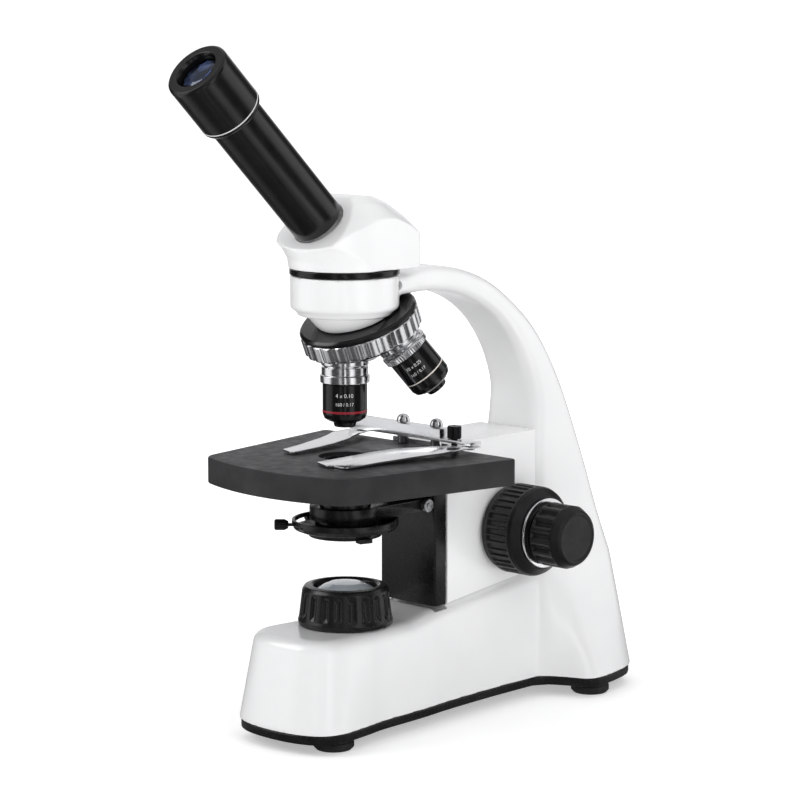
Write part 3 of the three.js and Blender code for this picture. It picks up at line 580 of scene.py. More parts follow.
# The arm: inner and outer edge (y, z), half width and corner radius, from the foot up and over.
ARM = [
    (114.2, ARM_START, REAR_HIGH, ARM_START, 22.8, 9), (114.2, 88, 163.8, 88, 19.8, 7.5),
    (114.2, 110, 155.8, 110, 18.6, 6.5), (114.4, 128, 149, 127, 18.2, 6.5),
    (115.4, 142, 143.2, 142, 17.4, 6.5), (115.0, 154, 137.2, 156, 16.6, 6.5), (110, 168, 128.5, 171, 16, 6),
    (103, 179.5, 117, 186, 15.6, 5.5), (93.5, 190, 102, 199, 15.3, 5), (81, 198.5, 86, 209.5, 15.1, 5),
    (66, 204.4, 69, 216, 15, 5),
    (50, 207.2, 51.5, 219.2, 15.2, 5), (38, 208, 38.5, 219.4, 16.2, 4.5), (24, 208, 24, 217.6, 19, 4),
    (8, 208, 8, 217.6, 20, 4),
]
# Below the arm's first row: a height, and how much of the flared foot is in the section there.
ARM_FOOT = [
    (PAN_TOP, 1.0), (13, 0.92), (18, 0.79), (24, 0.64), (30, 0.5), (37, 0.35), (45, 0.21), (52, 0.11),
    (59, 0.04),
]


def arm_skin():
    """The column and the arm: the flared foot, melting into a rounded section that follows the curve."""
    count = 36
    rings = []
    foot = half_section([tuple(p) for p in spline(FLARE, 4)], count)
    y0, z0, y1, z1, half, radius = ARM[0]
    shank = half_section(rounded_rectangle(half, (y1 - y0) / 2, radius), count)
    for z, share in ARM_FOOT:
        rear = REAR_LOW - (REAR_LOW - REAR_HIGH) * ((z - PAN_TOP) / (ARM_START - PAN_TOP)) ** 1.7
        centre = (y0 + rear) / 2
        stretch = (rear - y0) / (y1 - y0)
        section = [(x, centre + y * stretch) for x, y in shank]
        rings.append([(f[0] * share + s[0] * (1 - share), f[1] * share + s[1] * (1 - share), z)
                      for f, s in zip(foot, section)])
    for y0, z0, y1, z1, half, radius in spline(ARM, 5):
        inner, outer = Vector((y0, z0)), Vector((y1, z1))
        middle = (inner + outer) / 2
        along = (outer - inner).normalized()
        section = half_section(rounded_rectangle(half, (outer - inner).length / 2, radius), count)
        rings.append([(x, middle.x + d * along.x, middle.y + d * along.y) for x, d in section])
    return loft(rings)


def rod(radius, low, high, segments):
    """A plain cylinder along Z, to cut with."""
    return turned([(0, low), (radius, low), (radius, high), (0, high)], 0, segments)


def stand_cutters():
    inlet_x, inlet_z = INLET
    dial_y, dial_z = DIAL
    inlet_hole = moved(rod(5.2, -12, 12, 48),
                       Matrix.Translation((inlet_x, 172, inlet_z)) @ Matrix.Rotation(math.pi / 2, 4, "X"))
    dial_hole = moved(rod(9.6, -30, 0, 64),
                      Matrix.Translation((-38.1, dial_y, dial_z)) @ Matrix.Rotation(math.pi / 2, 4, "Y"))
    carrier_well = box(-18.4, 18.4, 42.1, 50.9, 52.9, 62)
    screw_hole = moved(rod(2.2, 9, 32, 32), along_x(SET_SCREW))
    turret_room = moved(rod(30.2, -70, -19.6, 96), MODEL.inverted() @ TURRET)
    housing_seat = box(-21, 21, 80, 114, 66, 130)
    return merged(inlet_hole, dial_hole, carrier_well, screw_hole, turret_room, housing_seat)


def stand():
    collar = turned([(0, 199), (22.2, 199), (22.2, 200.5), (25.5, 203), (25.5, 218.2), (0, 218.2)], 0.4, 128)
    skin = melted(merged(base_skin(), arm_skin(), collar), 0.9, 5)
    skin = boolean(skin, stand_cutters(), "DIFFERENCE")
    finished("stand_shell", moved(skin, MODEL), "stand", WHITE, ["stand_casting"], 40)

    footprint = [tuple(p) for p in spline(BASE_BOTTOM[:-1], 4) + spline(FLARE[3:], 4)]
    pan = bevelled(prism(both_sides(inset(footprint, 0.9)), 5.2, 9.4), 0.7, 3, 60)
    finished("base_pan", moved(pan, MODEL), "stand", BLACK, ["base_plate"], 45)
    for side, sign in SIDES:
        for end, (x, y) in (("front", (19.6, -27.3)), ("rear", (32.5, 140.2))):
            node = f"foot_{end}_{side}"
            foot = turned([(0, 0), (3.2, 0), (3.4, 1), (4.6, 1), (4.8, 0), (8.2, 0), (9.5, 1.4), (9.5, 3.6),
                           (8.9, 4.1), (8.9, 5.2), (0, 5.2)], 0.35, 72)
            place = MODEL @ Matrix.Translation((sign * x, y, 0))
            finished(f"{node}_pad", moved(foot, place), "stand", RUBBER, [node])


# ---- lamp, inlet and dial
def lamp_flutes(r, z, a):
    """Twenty flutes with land between them, fading out at both ends."""
    low, high = 56.2, 68.2
    if r < 17 or not low < z < high:
        return r
    wave = (1 + math.cos(20 * a)) / 2
    end = min(1, (z - low) / 2.4, (high - z) / 2.4)
    return r - 1.15 * max(0, (wave - 0.42) / 0.58) ** 0.6 * math.sin(end * math.pi / 2)


def lamp():
    wall = turned([(11, 52.3), (22.3, 52.3), (22.5, 54.6), (22, 56), (20.4, 69.2), (19.3, 70.8), (16.4, 71.3),
                   (14.9, 70.3), (14.6, 66), (11, 60)], 0.7, 400, True, 0.9, lamp_flutes)
    finished("lamp_collar", moved(wall, MODEL), "stand", BLACK, ["lamp_housing"], 50)
    dome = turned([(0, 66.6), (9, 66.4), (14.3, 66.3), (14.3, 68.0), (13.2, 69.3), (10.5, 70.8), (7.6, 71.9),
                   (4, 72.5), (0, 72.7)], 0.2, 96)
    finished("lamp_dome", moved(dome, MODEL), "stand", LAMP_GLASS, ["lamp_lens"], 60)


def inlet():
    x, z = INLET
    axis = MODEL @ Matrix.Translation((x, 0, z)) @ Matrix.Rotation(-math.pi / 2, 4, "X")
    socket = turned([(5, 161), (5, 176.6), (4.6, 177), (3.2, 177), (3, 176.6), (3, 164), (0, 164), (0, 161)],
                    0.15, 64)
    finished("inlet_shell", moved(socket, axis), "stand", PLASTIC, ["power_inlet"])
    pin = turned([(0, 163), (1, 163), (1, 169.6), (0.6, 170), (0, 170)], 0.1, 32)
    finished("inlet_pin", moved(pin, axis), "stand", CHROME, ())


def dial():
    def knurl(r, z, a):
        return r - 0.45 * max(0, math.cos(30 * a)) ** 0.7 if r > 8.4 and 38.8 < z < 43.6 else r

    wheel = turned([(0, 27.5), (5, 27.5), (5, 38.5), (9, 38.5), (9, 43.9), (8.2, 44.5), (0, 44.5)], 0.25, 240,
                   False, 0.8, knurl)
    finished("dial_wheel", moved(wheel, MODEL @ along_x(DIAL, -1)), "dial", PLASTIC, ["brightness_dial"],
             45)


# ---- focus drive
def coarse_grip(r, z, a):
    """Eighteen pairs of short slots round the grip, with a plain flange behind them."""
    low, high = 24.2, 36.4
    turn = (a * 18 / (2 * math.pi)) % 1
    in_slot = 0.10 < turn < 0.42 or 0.58 < turn < 0.90
    if r < 20.6 or not low < z < high or not in_slot:
        return r
    return r - 0.9 * min(1, (z - low) / 0.8, (high - z) / 0.8)


def fine_grip(r, z, a):
    """Fifteen scallops that run out towards the knob's end."""
    low, high = 46.4, 58.8
    if r < 13.6 or not low < z < high:
        return r
    end = min(1, (z - low) / 1.2, (high - z) / 2.2)
    wave = (1 + math.cos(15 * a)) / 2
    return r - 1.9 * wave ** 1.5 * math.sin(end * math.pi / 2)


def drive():
    for side, sign in SIDES:
        axis = MODEL @ along_x(DRIVE, sign)
        coarse = turned([(5.3, 19.8), (20.6, 19.8), (20.9, 20.2), (20.9, 22.4), (21.9, 22.8), (21.9, 37.2),
                         (21.2, 38.8), (17.8, 42), (5.3, 42)], 0.35, 432, True, 0.8, coarse_grip)
        finished(f"coarse_grip_{side}", moved(coarse, axis), "coarse_drive", PLASTIC, [f"coarse_knob_{side}"],
                 32)
        trim = turned([(12, 42.3), (17, 42.3), (17, 43.8), (12, 43.8)], 0.25, 128, True)
        finished(f"knob_trim_{side}", moved(trim, axis), "coarse_drive", CHROME, [f"knob_ring_{side}"])
        fine = turned([(2.3, 44.1), (13.2, 44.1), (13.8, 45.4), (15.4, 46.2), (15.4, 58.6), (13.4, 62.2),
                       (12.2, 63.2), (11.2, 63.3), (10.9, 62.9), (0, 62.9), (0, 58), (2.3, 58)], 0.35, 360,
                      False, 0.8, fine_grip)
        finished(f"fine_grip_{side}", moved(fine, axis), "fine_drive", PLASTIC, [f"fine_knob_{side}"],
                 32)
    dressed("focus_housing", "stand", WHITE, 1.1)


# ---- stage
def stage_outline():
    """A bowed front, rounded corners, and sides that widen to the rear."""
    corner_y, rear, front_half, rear_half = -47.5, 50, 47.5, 63.8
    middle = (0, corner_y - 8.35)
    right = [middle]
    right += bezier(14, middle, (19.75, middle[1]), (front_half - 8, corner_y - 1.2))
    right += bezier(10, right[-1], (front_half - 0.4, corner_y + 0.6), (front_half + 1, corner_y + 8))
    right += [(rear_half - 0.3, rear - 3)]
    right += bezier(8, right[-1], (rear_half, rear), (rear_half - 3, rear))
    return both_sides(right + [(0, rear)])


def stage():
    plate = bevelled(prism(stage_outline(), STAGE_TOP - 12.5, STAGE_TOP), 0.9, 3, 55)
    wells = [moved(rod(1.8, STAGE_TOP - 7, 140, 24), Matrix.Translation((x, CLIP_ROW_Y, 0)))
             for x in (*NUT_X.values(), THUMB_SCREW_X)]
    plate = boolean(plate, merged(rod(12.5, 100, 140, 96), *wells), "DIFFERENCE")
    finished("stage_table", moved(plate, MODEL), "stage", STAGE, ["stage_plate"], 30)
    dressed("stage_carrier", "stage", BLACK, 0.5, 2)
    clips()


# Plans of the clips, each as if it were the right one, and the height of their undersides by y.
BLADES = {
    "left": [(18.4, -16.8), (27.8, -14), (29.6, -0.7), (33.8, 16.7), (39.5, 31), (41.5, 50), (31.5, 50),
             (28, 38), (23, 26), (19, 12), (18.2, 0)],
    "right": [(8.5, -27), (19.5, -31), (21, -28.6), (29.5, -29), (31.5, -10), (36, 10), (41, 30), (41.5, 50),
              (31.5, 50), (29, 38), (23, 29), (15.5, 22), (12, 8), (10, -8)],
}
BLADE_LIFT = [(-32, 132.95), (-20, 133.1), (-5, 133.6), (12, 134.3), (24, 134.6), (33, 135.2), (51, 135.2)]


def blade(side, sign):
    """A flat strip cut across every 2 mm, so that it can follow the lift."""
    outline = rounded([(sign * x, y) for x, y in BLADES[side]], 2.2, True)
    bm = prism([tuple(p) for p in outline], 0, 0.8)
    for k in range(-31, 50, 2):
        geometry = bm.verts[:] + bm.edges[:] + bm.faces[:]
        bmesh.ops.bisect_plane(bm, geom=geometry, plane_co=(0, k, 0), plane_no=(0, 1, 0), dist=1e-5)
    curve = spline(BLADE_LIFT, 8)
    for v in bm.verts:
        v.co.z += height_at(curve, v.co.y)
    hole = moved(rod(1.8, 120, 150, 32), Matrix.Translation((sign * BLADE_STUD_X, CLIP_ROW_Y, 0)))
    return bevelled(boolean(bm, hole, "DIFFERENCE"), 0.16, 2, 50)


def clips():
    for side, sign in SIDES:
        strip = moved(blade(side, sign), MODEL)
        finished(f"clip_blade_{side}", strip, f"{side}_clip", SPRING, [f"clip_{side}"], 30)
        nut = turned([(0, STAGE_TOP - 5.9), (1.5, STAGE_TOP - 5.9), (1.5, 142.7), (3, 142.7), (3.2, 142.9),
                      (3.2, 143.8), (2.8, 145.3), (1.6, 146.5), (0, 146.9)], 0.3, 64)
        place = MODEL @ Matrix.Translation((NUT_X[side], CLIP_ROW_Y, 0))
        finished(f"dome_nut_{side}", moved(nut, place), "stage", CHROME, [f"clip_nut_{side}"])
    dressed("clip_bar", "stage", SPRING, 0.25, 2)

    def knurl(r, z, a):
        return r - 0.22 * max(0, math.cos(26 * a)) if r > 3.1 and 138.8 < z < 143.9 else r

    screw = turned([(0, 126.5), (1.5, 126.5), (1.5, 138.3), (3.1, 138.3), (3.4, 138.8), (3.4, 143.8),
                    (2.9, 144.45), (0.9, 144.45), (0.7, 144), (0, 144)], 0.15, 208, False, 0.7, knurl)
    place = MODEL @ Matrix.Translation((THUMB_SCREW_X, CLIP_ROW_Y, 0))
    finished("thumb_screw", moved(screw, place), "stage", GLOSS_BLACK, ["clip_thumb_screw"],
             45)
    head = turned([(0, 9), (1.5, 9), (1.5, 16.4), (3.2, 16.4), (3.2, 18.7), (2.9, 19), (1.7, 19), (1.6, 19.5),
                   (0, 19.5)], 0.15, 64)
    place = MODEL @ along_x((37.5, 106))
    finished("bracket_screw_head", moved(head, place), "stage", STEEL, ["bracket_screw"])


# ---- under the stage
def condenser():
    barrel = turned([(9, 100.9), (14.5, 100.9), (14.5, 102.7), (12, 102.7), (12, 130.9), (10.4, 130.9),
                     (10.4, 125.8), (9, 125)], 0.3, 96, True)
    finished("condenser_tube", moved(barrel, MODEL), "stage", BLACK, ["condenser_barrel"])
    lens = turned([(0, 126.3), (10.1, 126.3), (10.1, 128.5), (8.6, 129.7), (6, 130.7), (3.5, 131.25),
                   (0, 131.5)], 0.15, 96)
    finished("condenser_dome", moved(lens, MODEL), "stage", COATED, ["condenser_lens"], 60)


def iris():
    """The dish with the lever's slot, two posts and the filter's pin, and the lever that turns in it."""
    dish = turned([(9, 97), (21, 97), (24, 98.2), (25.2, 99.8), (25.2, 102.6), (23.8, 102.6), (22.9, 98.7),
                   (9, 98.7)], 0.4, 160, True)
    slot_half, steps = 0.68, 10
    slot = [(r * math.cos(a), r * math.sin(a)) for r, turn in ((20.5, 1), (27, -1))
            for a in [LEVER_ANGLE + turn * slot_half * (1 - 2 * k / steps) for k in range(steps + 1)]]
    dish = boolean(dish, prism(slot, 98.8, 100.8), "DIFFERENCE")
    posts = [moved(turned([(0, 97.3), (1.8, 97.3), (1.8, 106), (0, 106)], 0.1, 40),
                   Matrix.Translation((x, 20.6, 0))) for x in (7, -7)]
    pin = moved(turned([(0, 93.5), (2.3, 93.5), (2.6, 93.9), (2.6, 94.4), (1.5, 94.4), (1.5, 97.8), (0, 97.8)],
                       0.1, 40), Matrix.Translation((FILTER_PIN_X, 0, 0)))
    whole = merged(dish, *posts, pin)
    finished("iris_dish", moved(whole, MODEL), "stage", BLACK, ["iris_housing"])

    plate = turned([(9.5, 98.95), (19.4, 98.95), (19.4, 100.4), (9.5, 100.4)], 0.2, 96, True)
    arm = bevelled(box(18, 28.5, -1.6, 1.6, 99.1, 100.2), 0.25, 2)

    def grips(r, z, a):
        return r - 0.28 * max(0, math.cos(10 * a)) if r > 2.2 else r

    knob = moved(turned([(0, 26.8), (1.7, 26.8), (2.6, 28.6), (2.6, 32.8), (2, 33.4), (0, 33.4)], 0.25, 80,
                        False, 0.6, grips), along_x((0, 99.65)))
    lever = moved(merged(plate, arm, knob), MODEL @ Matrix.Rotation(LEVER_ANGLE, 4, "Z"))
    finished("iris_lever_arm", lever, "iris_ring", PLASTIC, ["iris_lever"])


def filter_holder():
    tray = turned([(13, 94.7), (17.2, 94.7), (17.2, 96.7), (15.2, 96.7), (15.2, 95.4), (13, 95.4)], 0.2, 96,
                  True)
    eye = moved(turned([(1.8, 94.7), (4, 94.7), (4, 96.7), (1.8, 96.7)], 0.2, 48, True),
                Matrix.Translation((FILTER_PIN_X, 0, 0)))
    arm = box(-18.6, -16.6, -3, 3, 94.8, 96.5)
    tab = moved(bevelled(box(16, 20.5, -3.4, 3.4, 93.7, 95.9), 0.4, 2), Matrix.Rotation(-0.28, 4, "Z"))
    whole = merged(tray, eye, arm, tab)
    finished("filter_tray", moved(whole, MODEL), "filter", PLASTIC, ["filter_holder"])
    disc = turned([(0, 95.55), (14.9, 95.55), (14.9, 96.6), (0, 96.6)], 0.2, 96)
    finished("filter_disc", moved(disc, MODEL), "filter", COATED, ["filter_glass"])


# ---- nosepiece and objectives
def seat_frame(seat):
    """The frame of one of the turret's three seats, its -Z pointing along the objective."""
    return TURRET @ Matrix.Rotation(seat * 2 * math.pi / 3, 4, "Z") @ Matrix.Rotation(-TURRET_TILT, 4, "X")


def wrapped_text(name, text, size, radius, z, angle, matrix):
    """A line of white numerals round a cylinder, read with the objective hanging down."""
    curve = bpy.data.curves.new(name, "FONT")
    curve.body = text
    curve.size = size
    curve.extrude = 0.02
    curve.align_x = "CENTER"
    work = bpy.data.objects.new(name, curve)
    bpy.context.scene.collection.objects.link(work)
    bm = evaluated(work)
    bpy.data.curves.remove(curve)
    bmesh.ops.triangulate(bm, faces=bm.faces)
    bmesh.ops.subdivide_edges(bm, edges=[e for e in bm.edges if e.calc_length() > 0.8], cuts=1)
    for v in bm.verts:
        a = angle + v.co.x / radius
        r = radius + 0.03 + v.co.z
        v.co = Vector((r * math.cos(a), r * math.sin(a), z + v.co.y))
    finished(name, moved(bm, matrix), "nosepiece", MARKING, (), 60)


def objective(name, seat, shoulder, end, ring_material, ring, text):
    """ring is the height of the colour band's lower edge above the end of the barrel, and its width."""
    place = seat_frame(seat)

    def knurl(r, z, a):
        return r - 0.3 * max(0, math.cos(60 * a)) ** 0.5 if r > 11.4 and -49.4 < z < -44.2 else r

    collar = turned([(7, -shoulder + 0.3), (11.6, -shoulder + 0.3), (11.7, -shoulder + 3.7),
                     (11, -shoulder + 4.1), (11, -42.4), (9.9, -42.4), (9.9, -37.7), (7, -37.7)], 0.25, 360,
                    True, 0.7, knurl if seat else None)
    finished(f"{name}_mount_ring", moved(collar, place), "nosepiece", CHROME, [f"{name}_collar"], 30)
    barrel = turned([(4.5, -44), (6.6, -44), (6.6, -shoulder), (10.1, -shoulder), (10.5, -shoulder - 0.5),
                     (10.5, -end + 3.8), (9.7, -end + 1.7), (7.6, -end + 0.35), (5.5, -end - 0.2),
                     (5.4, -end - 0.8), (4.9, -end - 2.4), (3.9, -end - 2.55), (3.4, -end - 2.0), (3.3, -60),
                     (4.5, -60)], 0.5, 128, True)
    finished(f"{name}_sleeve", moved(barrel, place), "nosepiece", GLOSS_BLACK, [f"{name}_barrel"],
             30)
    glass = turned([(0, -end - 1.7), (1.8, -end - 1.65), (3.2, -end - 1.3), (3.2, -end + 1), (0, -end + 1)],
                   0.1, 48)
    finished(f"{name}_front_glass", moved(glass, place), "nosepiece", COATED, [f"{name}_lens"], 60)
    low = -end + ring[0]
    high = low + ring[1]
    stripe = turned([(10.3, low), (10.56, low), (10.56, high), (10.3, high)], 0.05, 128, True)
    finished(f"{name}_colour_band", moved(stripe, place), "nosepiece", ring_material, ())
    to_viewer = math.radians(-46) - seat * 2 * math.pi / 3
    for row, (line, size, z) in enumerate(text):
        wrapped_text(f"{name}_marks_{row}", line, size, 10.5, z, to_viewer, place)


def nosepiece():
    cone = turned([(0, -20.2), (19.2, -20.2), (20.5, -17.7), (22.2, -13.4), (24.4, -6), (0, -6)], 1.2, 128)
    moved(cone, MODEL.inverted() @ TURRET)
    geometry = cone.verts[:] + cone.edges[:] + cone.faces[:]
    cut = bmesh.ops.bisect_plane(cone, geom=geometry, plane_co=(0, 0, 198.7), plane_no=(0, 0, 1),
                                 clear_outer=True)
    rim = [e for e in cut["geom_cut"] if isinstance(e, bmesh.types.BMEdge)]
    bmesh.ops.holes_fill(cone, edges=rim, sides=0)
    finished("nosepiece_bowl", moved(cone, MODEL), "stand", WHITE, ["nosepiece_mount"])

    body = turned([(3.1, -41.2), (6.5, -41.2), (17, -37.2), (24.3, -33.6), (25.5, -31.9), (25.5, -23.1),
                   (28.3, -23.1), (28.4, -21.8), (27.2, -20.6), (3.1, -20.6)], 0.45, 144, True)
    finished("turret_disc", moved(body, TURRET), "nosepiece", GLOSS_BLACK, ["turret_body"], 30)
    for seat in range(3):
        boss = turned([(4.4, -41.7), (10.9, -41.7), (11.2, -41.3), (11.2, -31), (4.4, -31)], 0.2, 96, True)
        finish = CHROME if seat < 2 else GLOSS_BLACK
        finished(f"turret_seat_{seat}", moved(boss, seat_frame(seat)), "nosepiece", finish, ())

    def notches(r, z, a):
        if r < 27.2:
            return r
        turn = (a * 24 / (2 * math.pi)) % 1
        return r - (1.0 if turn < 0.24 else 0.4 * ((turn - 0.62) / 0.38) ** 2)

    ring = turned([(25.9, -31.6), (28.2, -31.6), (28.7, -31.1), (28.7, -23.9), (28.3, -23.4), (25.9, -23.4)],
                  0.2, 576, True, 1.2, notches)
    finished("turret_grip", moved(ring, TURRET), "nosepiece", CHROME, ["turret_ring"], 28)
    objective("objective_4x", 0, 50.1, 68.4, RED, (4.6, 1.1),
              [("4 x 0.10", 2.6, -56), ("160 / 0.17", 2.2, -60)])
    objective("objective_10x", 1, 47.3, 68.0, PALE, (7.6, 0.6),
              [("10 x 0.25", 2.3, -52.8), ("160 / 0.17", 2.1, -56.4)])
    cap = turned([(0, -47.5), (9.2, -47.5), (11, -46.4), (11, -42.4), (9.9, -42.4), (9.9, -37.8), (0, -37.8)],
                 0.35, 96)
    finished("port_plug", moved(cap, seat_frame(2)), "nosepiece", PLASTIC, ["port_cap"])


# ---- head, tube and eyepiece
def head_skin():
    """A block of the head's plan and side, trimmed by a dome, its edges softened."""
    right = [(14, -29.5)] + bezier(20, (14, -29.5), (20, -28), (25, -16), (25, -6))
    right += [(25, 23.5)] + bezier(8, (25, 23.5), (25, 26.3), (22.5, 26.3))
    side = [(-26, 221.3), (27, 221.3), (27, 242), (19, 250), (9, 254.6), (-1.5, 255.6), (-4.5, 254.4),
            (-29.6, 231.6), (-29, 229.4)]
    dome = turned([(0, 220), (36, 220), (36, 234), (30, 240.8), (25, 245.5), (17, 251.5), (8, 256.4),
                   (0, 257)], 2, 144)
    shell = boolean(prism(both_sides(right), 218, 258), prism(side, -30, 30, "X"), "INTERSECT")
    shell = boolean(shell, moved(dome, Matrix.Translation((0, 3, 0))), "INTERSECT")
    flare = turned([(0, 221.3), (26.2, 221.3), (26.8, 226), (29.6, 231), (60, 262), (0, 262)], 0, 144)
    rear = box(-30, 30, 0, 30, 220, 260)
    shell = boolean(shell, boolean(flare, rear, "UNION"), "INTERSECT")
    return melted(shell, 0.55, 6)


def head():
    screw = turned([(0, 9.6), (2.05, 9.6), (2.05, 16.4), (1.75, 16.8), (1.1, 16.8), (1.1, 14.6), (0, 14.6)],
                   0.1, 48)
    place = MODEL @ along_x(SET_SCREW)
    finished("set_screw_socket", moved(screw, place), "stand", MATTE_BLACK, ["head_set_screw"])
    ring = turned([(11.3, 218.5), (25.8, 218.5), (25.8, 221), (11.3, 221)], 0.35, 144, True)
    finished("head_seat_ring", moved(ring, MODEL), "stand", GLOSS_BLACK, ["head_ring"])
    shell = head_skin()
    shell = boolean(shell, moved(rod(13.0, 12, 60, 96), MODEL.inverted() @ TUBE), "DIFFERENCE")
    finished("head_shell", moved(shell, MODEL), "head", WHITE, ["head_housing"], 40)
    tube = turned([(11.9, 25.3), (12.7, 25.3), (12.7, 97.6), (12.4, 98), (11.9, 98)], 0.15, 128, True, 6)
    finished("eye_tube", moved(tube, TUBE), "head", TUBE_BLACK, ["eyepiece_tube"])


def eyepiece():
    body = turned([(10.3, 62), (11.5, 62), (11.5, 98.3), (14.6, 98.3), (15.1, 99.3), (15.1, 126.2),
                   (14.85, 127.2), (13.9, 128), (10.3, 128), (9.5, 126.3), (9.4, 104), (10.3, 103)], 0.3, 144,
                  True, 4)
    finished("eyepiece_shell", moved(body, TUBE), "eyepiece", TUBE_BLACK, ["eyepiece_body"], 30)
    trim = turned([(14.4, 100.4), (15.0, 100.35), (15.18, 100.5), (15.18, 100.95), (15.0, 101.1),
                   (14.4, 101.1)], 0.06, 128, True)
    finished("eyepiece_trim", moved(trim, TUBE), "eyepiece", PALE_RING, ())
    # A matte black ring just under the eye lens, there to darken the view into the eyepiece: painted shade.
    shade = turned([(6.2, 120.2), (9.35, 119.8), (9.35, 120.8), (6.4, 121.1)], 0.1, 96, True)
    finished("eyepiece_painted_shade_ring", moved(shade, TUBE), "eyepiece", MATTE_BLACK, ())
    eye = turned([(0, 121.4), (9.2, 122), (9.2, 124.2), (5, 125.3), (0, 125.8)], 0.4, 96)
    finished("eye_glass", moved(eye, TUBE), "eyepiece", COATED, ["eye_lens"], 60)
    field = turned([(0, 66), (10, 66.6), (10, 69), (6, 70.6), (0, 71.2)], 0.3, 96)
    finished("field_glass", moved(field, TUBE), "eyepiece", COATED, ["field_lens"], 60)


# ---- nodes kept as the CAD has them
KEPT_NODES = {
    "led_holder": STEEL, "led_board": BRASS, "driver_board": BOARD, "coarse_shaft": STEEL, "fine_shaft": STEEL,
    "guide_rail_left": STEEL, "guide_rail_right": STEEL, "rack": BRASS, "turret_axle": STEEL,
    "head_prism": GLASS,
}


def kept_nodes():
    for node, finish in KEPT_NODES.items():
        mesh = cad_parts[node].data
        mesh.materials.clear()
        mesh.materials.append(finish)


# ---- floor, light and camera
def grey_ramp(tree, value, *stops):
    """A ramp through (position, brightness) stops, in place of the two that a new ramp has."""
    node = tree.nodes.new("ShaderNodeValToRGB")
    for position, level in stops:
        node.color_ramp.elements.new(position).color = (level, level, level * 1.02, 1)
    node.color_ramp.elements.remove(node.color_ramp.elements[0])
    node.color_ramp.elements.remove(node.color_ramp.elements[-1])
    tree.links.new(value, node.inputs["Fac"])
    return node.outputs["Color"]


def mixed(tree, share, off, on):
    node = tree.nodes.new("ShaderNodeMixShader")
    for value, socket in zip((share, off, on), node.inputs):
        tree.links.new(value, socket)
    return node.outputs["Shader"]


def panels(tree, direction):
    """Bright and dark panels standing round the set, which only shine in polished pieces."""
    turn = tree.nodes.new("ShaderNodeTexGradient")
    turn.gradient_type = "RADIAL"
    tree.links.new(direction, turn.inputs["Vector"])
    stops = [(0.05, 0.04), (0.09, 0.9), (0.17, 0.9), (0.2, 0.05), (0.29, 0.07), (0.31, 0.5), (0.325, 0.5),
             (0.34, 0.04), (0.365, 0.05), (0.372, 1.1), (0.382, 1.1), (0.39, 0.06), (0.43, 0.12), (0.45, 1.1),
             (0.49, 1.0), (0.52, 0.05), (0.6, 0.04), (0.63, 0.9), (0.7, 0.9), (0.73, 0.04), (0.81, 0.08),
             (0.835, 0.8), (0.92, 0.8), (0.96, 0.05)]
    return grey_ramp(tree, turn.outputs["Fac"], *stops)


def floor():
    bm = bmesh.new()
    bmesh.ops.create_grid(bm, x_segments=24, y_segments=24, size=6)
    mesh = bpy.data.meshes.new("studio_floor")
    bm.to_mesh(mesh)
    bm.free()
    obj = bpy.data.objects.new("studio_floor", mesh)
    bpy.context.scene.collection.objects.link(obj)
    s = Shader("floor_paper", (0.82, 0.82, 0.82), 0.6, Specular_IOR_Level=0.1, Emission_Color=(1, 1, 1, 1))
    s.vary_roughness(0.55, 0.7, s.noise(8, 3))
    reach = s.tree.nodes.new("ShaderNodeVectorMath")
    reach.operation = "LENGTH"
    s.tree.links.new(s.place, reach.inputs[0])
    glow = s.mapped(reach.outputs["Value"], 0.42, 0.8, 0.2, 0.9)
    s.tree.links.new(glow, s.shader.inputs["Emission Strength"])
    # Polished pieces see a dark table with one pool of light at its right, and the panels beyond.
    pool = s.tree.nodes.new("ShaderNodeVectorMath")
    pool.operation = "DISTANCE"
    pool.inputs[1].default_value = (0.36, 0.16, 0)
    s.tree.links.new(s.place, pool.inputs[0])
    shine = s.tree.nodes.new("ShaderNodeEmission")
    s.tree.links.new(s.mapped(pool.outputs["Value"], 5.0, 0.12, 0.06, 0.2), shine.inputs["Strength"])
    beyond = s.tree.nodes.new("ShaderNodeEmission")
    s.tree.links.new(panels(s.tree, s.place), beyond.inputs["Color"])
    share = s.mapped(reach.outputs["Value"], 0.1, 1, 0.12, 0.5)
    mirrored = mixed(s.tree, share, shine.outputs["Emission"], beyond.outputs["Emission"])
    path = s.tree.nodes.new("ShaderNodeLightPath")
    seen = mixed(s.tree, path.outputs["Is Glossy Ray"], s.shader.outputs["BSDF"], mirrored)
    s.tree.links.new(seen, s.tree.nodes["Material Output"].inputs["Surface"])
    mesh.materials.append(s.material)


def area_light(name, where, aim, wide, high, power, mirrored=False):
    data = bpy.data.lights.new(name, "AREA")
    data.shape = "RECTANGLE"
    data.size = wide
    data.size_y = high
    data.energy = power
    obj = bpy.data.objects.new(name, data)
    bpy.context.scene.collection.objects.link(obj)
    obj.location = where
    obj.visible_glossy = mirrored
    obj.rotation_mode = "QUATERNION"
    obj.rotation_quaternion = (Vector(aim) - Vector(where)).to_track_quat("-Z", "Y")


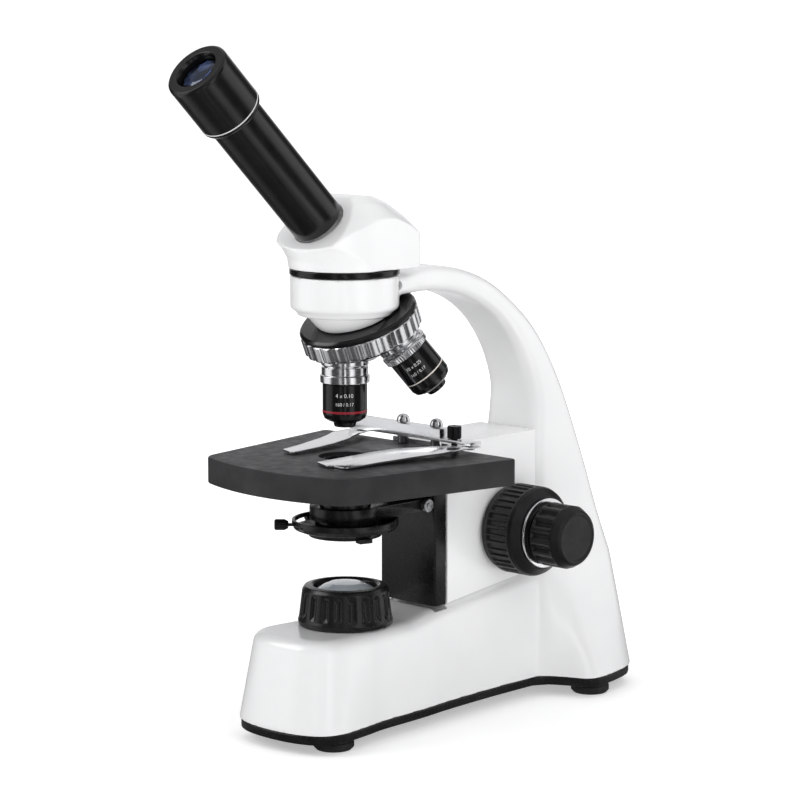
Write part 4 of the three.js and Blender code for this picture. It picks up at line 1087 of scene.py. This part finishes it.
def studio():
    world = bpy.data.worlds.new("studio")
    bpy.context.scene.world = world
    world.use_nodes = True
    tree = world.node_tree
    tree.nodes.remove(tree.nodes["Background"])

    def dome(color, strength):
        node = tree.nodes.new("ShaderNodeBackground")
        node.inputs["Color"].default_value = (*color, 1)
        node.inputs["Strength"].default_value = strength
        return node

    direction = tree.nodes.new("ShaderNodeTexCoord").outputs["Generated"]
    around = panels(tree, direction)
    split = tree.nodes.new("ShaderNodeSeparateXYZ")
    tree.links.new(direction, split.inputs["Vector"])
    height = tree.nodes.new("ShaderNodeMapRange")
    height.inputs["From Min"].default_value = -1
    tree.links.new(split.outputs["Z"], height.inputs["Value"])
    ceiling = grey_ramp(tree, height.outputs["Result"], (0.0, 0.0), (0.72, 0.0), (0.9, 1.0))
    both = tree.nodes.new("ShaderNodeMix")
    both.data_type = "RGBA"
    tree.links.new(ceiling, both.inputs["Factor"])
    tree.links.new(around, both.inputs["A"])
    both.inputs["B"].default_value = (0.5, 0.5, 0.51, 1)
    mirrored = dome((1, 1, 1), 1.0)
    tree.links.new(both.outputs["Result"], mirrored.inputs["Color"])
    path = tree.nodes.new("ShaderNodeLightPath")
    soft = dome((0.97, 0.985, 1), 0.36)
    backdrop = dome((1, 1, 1), 1.1)
    lit = mixed(tree, path.outputs["Is Glossy Ray"], soft.outputs[0], mirrored.outputs[0])
    seen = mixed(tree, path.outputs["Is Camera Ray"], lit, backdrop.outputs[0])
    tree.links.new(seen, tree.nodes["World Output"].inputs["Surface"])
    middle = (0, 0, 0.16)
    area_light("key_left", (-0.9, -1.1, 1.1), middle, 1.0, 1.0, 9.5, True)
    area_light("top", (0.0, 0.1, 1.5), middle, 1.6, 1.6, 9)
    area_light("fill_right", (1.3, -0.3, 0.7), middle, 0.9, 1.2, 7)
    bpy.context.scene.cycles.caustics_reflective = False
    bpy.context.scene.cycles.caustics_refractive = False
    bpy.context.scene.view_settings.view_transform = "Standard"
    bpy.context.scene.view_settings.look = "None"


def camera():
    data = bpy.data.cameras.new("photo_camera")
    data.lens = 140.01
    data.sensor_width = 36
    data.clip_end = 50
    obj = bpy.data.objects.new("photo_camera", data)
    bpy.context.scene.collection.objects.link(obj)
    azimuth, elevation = math.radians(44.112), math.radians(8.465)
    ahead = Vector((-math.sin(azimuth) * math.cos(elevation), math.cos(azimuth) * math.cos(elevation),
                    -math.sin(elevation)))
    obj.location = (1.022209, AXIS_Y - 1.017285, 0.373522)
    obj.rotation_mode = "QUATERNION"
    obj.rotation_quaternion = ahead.to_track_quat("-Z", "Y")
    bpy.context.scene.camera = obj


stand()
lamp()
inlet()
dial()
drive()
stage()
condenser()
iris()
filter_holder()
nosepiece()
head()
eyepiece()
kept_nodes()
floor()
studio()
camera()
